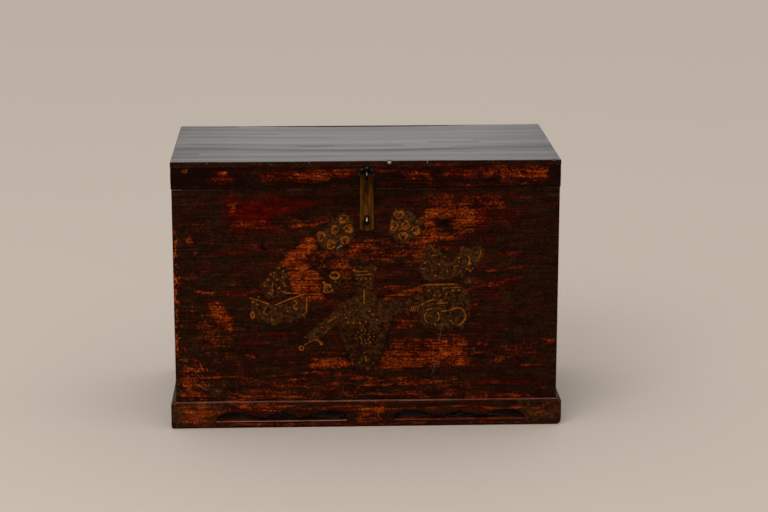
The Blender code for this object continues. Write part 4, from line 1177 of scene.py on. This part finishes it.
def lid_board(name, node, section, steps, chipped):
    """A plank of the lid's top, rounded where its section turns."""
    profile, normals = round_profile(section, (0, TOP_ROUND, 0), steps)
    half = TOP_HIGH.x / MM
    along = fine_lines(-half, half, TOP_LENGTH_STEP, TOP_ROUND, TOP_ROUND)
    x = np.broadcast_to(along, (len(profile), len(along)))
    y = np.broadcast_to(profile[:, :1], x.shape)
    z = np.broadcast_to(profile[:, 1:], x.shape)
    paint = Paint(x, y)
    upright = np.clip(normals[:, 1:], 0, 1) ** 2
    paint.red += 0.30 - 0.12 * upright
    paint.orange += 0.14 - 0.08 * upright
    end = half - np.abs(x)
    for points, half_width, amount in TOP_STREAKS:
        paint.streak("dark", points, half_width, amount)
    worn_end = 0.30 * smooth_step(150, 0, end) + 0.15 * smooth_step(20, 0, end)
    paint.dark = upright * np.clip(paint.dark + worn_end, 0, 1)
    rounding = TOP_ROUND * (0.7 + 0.6 * fractal(y / 14, y * 0, 91))
    rise = -edge_drop(end, rounding) - top_sag(x, y) * upright - 0.35 * fractal(x / 26, z / 3, 95)
    if chipped:
        chip_edge(paint, rise, x, y - TOP_LOW.y / MM, z - TOP_LOW.z / MM)
    corner = (TOP_BACK_LOW.y / MM, TOP_LOW.z / MM)
    mesh = swept_piece(name, along, profile, normals, rise, [corner])
    store_layers(mesh, paint)
    add_piece(name, mesh, [plinth_lacquer, top_lacquer, wood_along], "lid", node)
    materials_by_slope(mesh, 0.8)


def build_lid():
    """The front rim, and the top's two planks, which meet at a joint along the chest."""
    board_face("lid_front_rim_face", "lid_front_rim", "lid", [rim_lacquer, lid_side_lacquer], wear_rim,
               RIM_HALF, RIM_LOW.y / MM, (RIM_LOW.z / MM, SEAM_ROUND), (RIM_HIGH.z / MM, RIM_TOP_ROUND))
    front, joint, back = TOP_LOW.y / MM, TOP_BACK_LOW.y / MM, TOP_BACK_HIGH.y / MM
    under, top = TOP_LOW.z / MM, TOP_HIGH.z / MM
    lid_board("lid_top_front_plank", "lid_top_front_board", [(front, under), (front, top), (joint, top)],
              (TOP_EDGE_STEP, TOP_STEP), True)
    lid_board("lid_top_back_plank", "lid_top_back_board", [(joint, top), (back, top), (back, under)],
              (TOP_STEP, TOP_EDGE_STEP), False)


# Plinth

PLINTH_PATCHES = [
    ([(-330, 41), (-262, 43), (-258, 10), (-318, 6)], 8, 0.6, 0.76),
    ([(-316, 11), (-60, 11), (60, 10), (310, 9), (310, 2), (-316, 2)], 3, 0.7, 0.46),
    ([(-290, 40), (-222, 40), (-218, 22), (-250, 16), (-286, 22)], 6, 0.7, 0.58),
    ([(-232, 44), (-130, 42), (-88, 38), (-120, 32), (-226, 32)], 4, 0.9, 0.72),
    ([(-120, 42), (-10, 42), (-10, 24), (-120, 30)], 5, 0.8, 0.50),
    ([(-16, 42), (34, 42), (28, 10), (-22, 8)], 6, 0.7, 0.62),
    ([(276, 42), (334, 42), (330, 8), (282, 8)], 8, 0.3, 0.34),
]
PLINTH_LINES = [
    ([(28, 30), (90, 33), (160, 36), (230, 31), (306, 33)], 1.8, 0.8, 0.56),
    ([(-280, 5), (-60, 5)], 2.0, 0.6, 0.34),
    ([(70, 5), (200, 6)], 2.0, 0.6, 0.30),
]
PLINTH_LEFT_FILM = [(-338, 44), (-248, 44), (-256, 4), (-338, 4)]
PLINTH_RIGHT_FILM = [(262, 44), (338, 44), (338, 4), (268, 4)]

# Millimetres: height that parts the rail's top from the cut-outs' ledges, and where the cut-outs lie
LEDGE_PARTING = 30
CUTOUT_HALF = 290
CUTOUT_LOW, CUTOUT_HIGH = 8, 38
CUTOUT_EDGE_DEPTH = 5
RAIL_WAVE = 0.6
RAIL_WAVE_DEPTH = 17

# Radius in metres of the worn foot at the left (-1) and right (1) corner, and from where to where it grows
FOOT_WEAR = {-1: 0.004, 1: 0.011}
FOOT_WEAR_REACH = (-0.100, -0.170)


def remeshed(node, voxel, rounds):
    """An even, softened copy of a node's mesh."""
    copy = linked("softened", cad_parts[node].data.copy())
    remesh = copy.modifiers.new("even", "REMESH")
    remesh.mode = "VOXEL"
    remesh.voxel_size = voxel
    smooth = copy.modifiers.new("soft", "SMOOTH")
    smooth.factor = 0.5
    smooth.iterations = rounds
    graph = bpy.context.evaluated_depsgraph_get()
    mesh = bpy.data.meshes.new_from_object(copy.evaluated_get(graph))
    mesh.materials.clear()
    old = copy.data
    bpy.data.objects.remove(copy)
    bpy.data.meshes.remove(old)
    return mesh


def move_points(mesh, places):
    mesh.vertices.foreach_set("co", places.ravel())
    mesh.update()
    mesh.shade_smooth()


def worn_foot(mesh):
    """A rail's points, with its foot worn round towards the chest's two front corners."""
    places = vectors(mesh.vertices, "co")
    near_front = smooth_step(*FOOT_WEAR_REACH, places[:, 1])
    for side, most in FOOT_WEAR.items():
        radius = np.maximum(most * near_front, 1e-6)
        across = side * places[:, 0] - (PLINTH_HIGH.x - radius)
        down = radius - places[:, 2]
        reach = np.hypot(across, down)
        worn = (across > 0) & (down > 0) & (reach > radius)
        shrink = np.where(worn, radius / np.maximum(reach, 1e-9), 1.0)
        places[:, 0] = np.where(worn, side * (PLINTH_HIGH.x - radius + across * shrink), places[:, 0])
        places[:, 2] = np.where(worn, radius - down * shrink, places[:, 2])
    return places


def wear_plinth(paint):
    paint.red += 0.32
    paint.orange += 0.10
    paint.wear(PLINTH_PATCHES, PLINTH_LINES, [])
    paint.streak("dark", [(-270, 18), (-256, 20)], 5, 0.7)
    paint.cover("film", PLINTH_LEFT_FILM, 0.58, 12, ragged=True)
    paint.cover("film", PLINTH_RIGHT_FILM, 0.40, 12, ragged=True)


def rail_dust_and_painted_light(paint, normals, y):
    """Dust, rubbed lacquer and painted highlight on a rail's ledges; painted shade over its cut-outs."""
    x, z = paint.x, paint.z
    behind = y - PLINTH_LOW.y / MM
    upper = z > LEDGE_PARTING
    # Faces that look up get pale dust and rubbed orange, which are also a painted highlight along the ledges
    # and the cut-outs' lips
    ledge = smooth_step(0.80, 0.97, normals[:, 2])
    lip = smooth_step(0.15, 0.60, normals[:, 2]) * smooth_step(3.4, 1.4, behind)
    dust_and_highlight = np.where(upper, 0.5, np.where(x > 0, 0.45, 0.85))
    dust_and_highlight *= 0.45 + 0.60 * fractal(x / 35, y / 4, 111)
    paint.lift("pale", dust_and_highlight * np.where(upper, ledge, lip))
    paint.lift("orange", np.where(upper, 0.85 * ledge, 0.62 * np.maximum(ledge, lip)))
    # Painted shade: a dark band on the front just above the cut-outs' upper edges
    cutout_shadow = smooth_step(0.9998, 0.985, -normals[:, 1]) * smooth_step(0.02, -0.01, normals[:, 2])
    cutout_shadow *= (np.abs(x) < CUTOUT_HALF) & (z > CUTOUT_LOW) & (z < CUTOUT_HIGH) & (behind < CUTOUT_EDGE_DEPTH)
    paint.lift("dark", 0.95 * cutout_shadow)


def build_front_rail():
    mesh = remeshed("plinth_front_rail", voxel=0.0013, rounds=5)
    normals = vectors(mesh.vertices, "normal")
    places = worn_foot(mesh)
    x, y, z = places.T / MM
    paint = Paint(x, z)
    wear_plinth(paint)
    rail_dust_and_painted_light(paint, normals, y)
    wave = fractal(x / 30, z / 20, 101) - 0.5
    places[:, 1] += RAIL_WAVE * MM * wave * (y - PLINTH_LOW.y / MM < RAIL_WAVE_DEPTH)
    move_points(mesh, np.clip(places, np.array(PLINTH_LOW), np.array(PLINTH_HIGH)))
    store_layers(mesh, paint)
    add_piece("plinth_front_carved_rail", mesh, [plinth_lacquer, ledge_lacquer], "carcase",
              "plinth_front_rail")
    materials_by_slope(mesh, 0.6)


def build_side_rail(side):
    mesh = remeshed(f"plinth_{side}_rail", voxel=0.0016, rounds=4)
    move_points(mesh, worn_foot(mesh))
    add_piece(f"plinth_{side}_worn_rail", mesh, [rail_lacquer], "carcase", f"plinth_{side}_rail")


def build_plinth():
    build_front_rail()
    build_side_rail("left")
    build_side_rail("right")


# Hasp: petals and collar in shares of the rosette's radius, heights and wires in metres

PETALS = 8
PETAL_NOTCH = 0.10
PETAL_MIDDLE, PETAL_HALF = 0.72, 0.30
COLLAR_MIDDLE, COLLAR_HALF = 0.34, 0.07
PLATE_HEIGHT = 0.0005
PETAL_HEIGHT = 0.0013
COLLAR_HEIGHT = 0.0007
EYE_WIRE = 0.0012
STAPLE_WIRE = 0.0018


def build_rosette():
    """A domed plate of petals around a raised ring."""
    centre = (ROSETTE_LOW + ROSETTE_HIGH) / 2
    radius = (ROSETTE_HIGH.x - ROSETTE_LOW.x) / 2
    rings, spokes = 16, 120
    vertices, rub = [], []
    for ring in range(1, rings + 1):
        share = ring / rings
        for spoke in range(spokes):
            angle = 2 * math.pi * spoke / spokes
            petal = abs(math.cos(angle * PETALS / 2))
            out = radius * (1 - PETAL_NOTCH + PETAL_NOTCH * petal**0.6) * share
            dome = math.sqrt(max(0, 1 - ((share - PETAL_MIDDLE) / PETAL_HALF) ** 2))
            height = PLATE_HEIGHT + PETAL_HEIGHT * dome * (0.25 + 0.75 * petal**0.7)
            height += COLLAR_HEIGHT * math.exp(-((share - COLLAR_MIDDLE) / COLLAR_HALF) ** 2)
            x = centre.x + out * math.cos(angle)
            vertices.append((x, ROSETTE_HIGH.y - height, centre.z + out * math.sin(angle)))
            rub.append(petal * math.exp(-((share - 0.90) / 0.09) ** 2) - 0.5 * (petal < 0.35))
    last = (rings - 1) * spokes
    middle = rings * spokes
    rim = middle + 1
    vertices.append((centre.x, ROSETTE_HIGH.y - PLATE_HEIGHT, centre.z))
    vertices += [(x, ROSETTE_HIGH.y, z) for x, _, z in vertices[last:middle]]
    faces = []
    for spoke in range(spokes):
        following = (spoke + 1) % spokes
        faces.append((middle, spoke, following))
        for a in range(0, last, spokes):
            b = a + spokes
            faces.append((a + spoke, b + spoke, b + following, a + following))
        faces.append((last + spoke, rim + spoke, rim + following, last + following))
    faces.append([rim + spoke for spoke in reversed(range(spokes))])
    mesh = smooth_mesh("hasp_rosette_plate", vertices, faces, 50)
    rub += [0.0] * (len(vertices) - len(rub))
    mesh.attributes.new("rub", "FLOAT", "POINT").data.foreach_set("value", rub)
    add_piece("hasp_rosette_plate", mesh, [bronze], "lid", "hasp_rosette")


def build_loop(name, low, high, wire, material, body, node):
    """A round wire bent to a U, with its legs in the wood, fitted to a node's box."""
    middle = (low + high) / 2
    radius = (high.z - low.z) / 2 - wire
    bend = around((low.y + wire + radius, middle.z), (radius, radius), 24, 270, 90)
    path = [(high.y, middle.z - radius)] + bend + [(high.y, middle.z + radius)]
    line = bpy.data.curves.new(name, "CURVE")
    line.dimensions = "3D"
    line.bevel_depth = wire
    line.bevel_resolution = 6
    line.use_fill_caps = True
    spline = line.splines.new("POLY")
    spline.points.add(len(path) - 1)
    for point, (y, z) in zip(spline.points, path):
        point.co = (middle.x, y, z, 1)
    spline.use_smooth = True
    add_piece(name, line, [material], body, node)


def build_hasp():
    build_rosette()
    build_loop("hasp_eye_loop", EYE_LOW, EYE_HIGH, EYE_WIRE, eye_brass_painted_shade, "lid", "hasp_eye")
    build_loop("hasp_staple_loop", STAPLE_LOW, STAPLE_HIGH, STAPLE_WIRE, staple_brass_painted_shade, "carcase",
               "hasp_staple")


# Carried-over nodes: how their names start, their finish and the width of their worn edges

WORN_EDGE = 0.0006
FINISHES = [
    (("left_", "right_"), side_lacquer, WORN_EDGE),
    (("back_", "plinth_back_"), back_lacquer, WORN_EDGE),
    (("lid_left_", "lid_right_"), lid_side_lacquer, WORN_EDGE),
    (("lid_back_",), lid_back_lacquer, WORN_EDGE),
    (("bottom_",), wood_along, WORN_EDGE),
    (("lid_batten_", "plinth_block_"), wood_across, 0.0008),
    (("hinge_pin_", "hinge_body_nail_", "hinge_lid_nail_"), iron, 0.0),
    (("hinge_", "hasp_"), brass, 0.00035),
]


def soften(thing, width):
    bevel = thing.modifiers.new("worn_edges", "BEVEL")
    bevel.width = width
    bevel.segments = 2
    bevel.limit_method = "ANGLE"
    bevel.angle_limit = math.radians(40)


def finish_nodes():
    """Gives every CAD node that still shows its procedural finish."""
    for name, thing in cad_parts.items():
        if thing.hide_render:
            continue
        material, width = next(row[1:] for row in FINISHES if name.startswith(row[0]))
        thing.data.materials.clear()
        thing.data.materials.append(material)
        if width:
            soften(thing, width)


# Stage

def build_stage():
    half = FLOOR_HALF
    mesh = bpy.data.meshes.new("floor")
    corners = [(-half, -half, 0), (half, -half, 0), (half, half, 0), (-half, half, 0)]
    mesh.from_pydata(corners, [], [(0, 1, 2, 3)])
    floor = linked("floor", mesh)
    graph = Graph("pale_floor")
    for key, value in FLOOR_LOOK.items():
        graph.shader.inputs[key].default_value = value
    mesh.materials.append(graph.material)

    scene = bpy.context.scene
    scene.world = bpy.data.worlds.new("studio")
    scene.world.use_nodes = True
    sky = scene.world.node_tree.nodes["Background"]
    sky.inputs["Color"].default_value = WORLD_COLOUR
    sky.inputs["Strength"].default_value = WORLD_STRENGTH

    lamp = bpy.data.lights.new("key", "AREA")
    lamp.size = KEY_SIZE
    lamp.energy = KEY_POWER
    key_light = linked("key", lamp)
    key_light.location = KEY_PLACE
    aim = Vector(KEY_AIM) - key_light.location
    key_light.rotation_euler = aim.to_track_quat("-Z", "Y").to_euler()

    lens = bpy.data.cameras.new("camera")
    lens.lens = CAMERA_LENS_MM
    lens.sensor_width = CAMERA_SENSOR_MM
    lens.sensor_fit = "HORIZONTAL"
    scene.camera = linked("camera", lens)
    scene.camera.location = CAMERA_PLACE
    turn = (math.radians(90 - CAMERA_PITCH_DEG), 0, math.radians(-CAMERA_YAW_DEG))
    scene.camera.rotation_euler = turn
    scene.view_settings.view_transform = "Standard"


build_stage()
build_front()
build_lid()
build_plinth()
build_hasp()
finish_nodes()
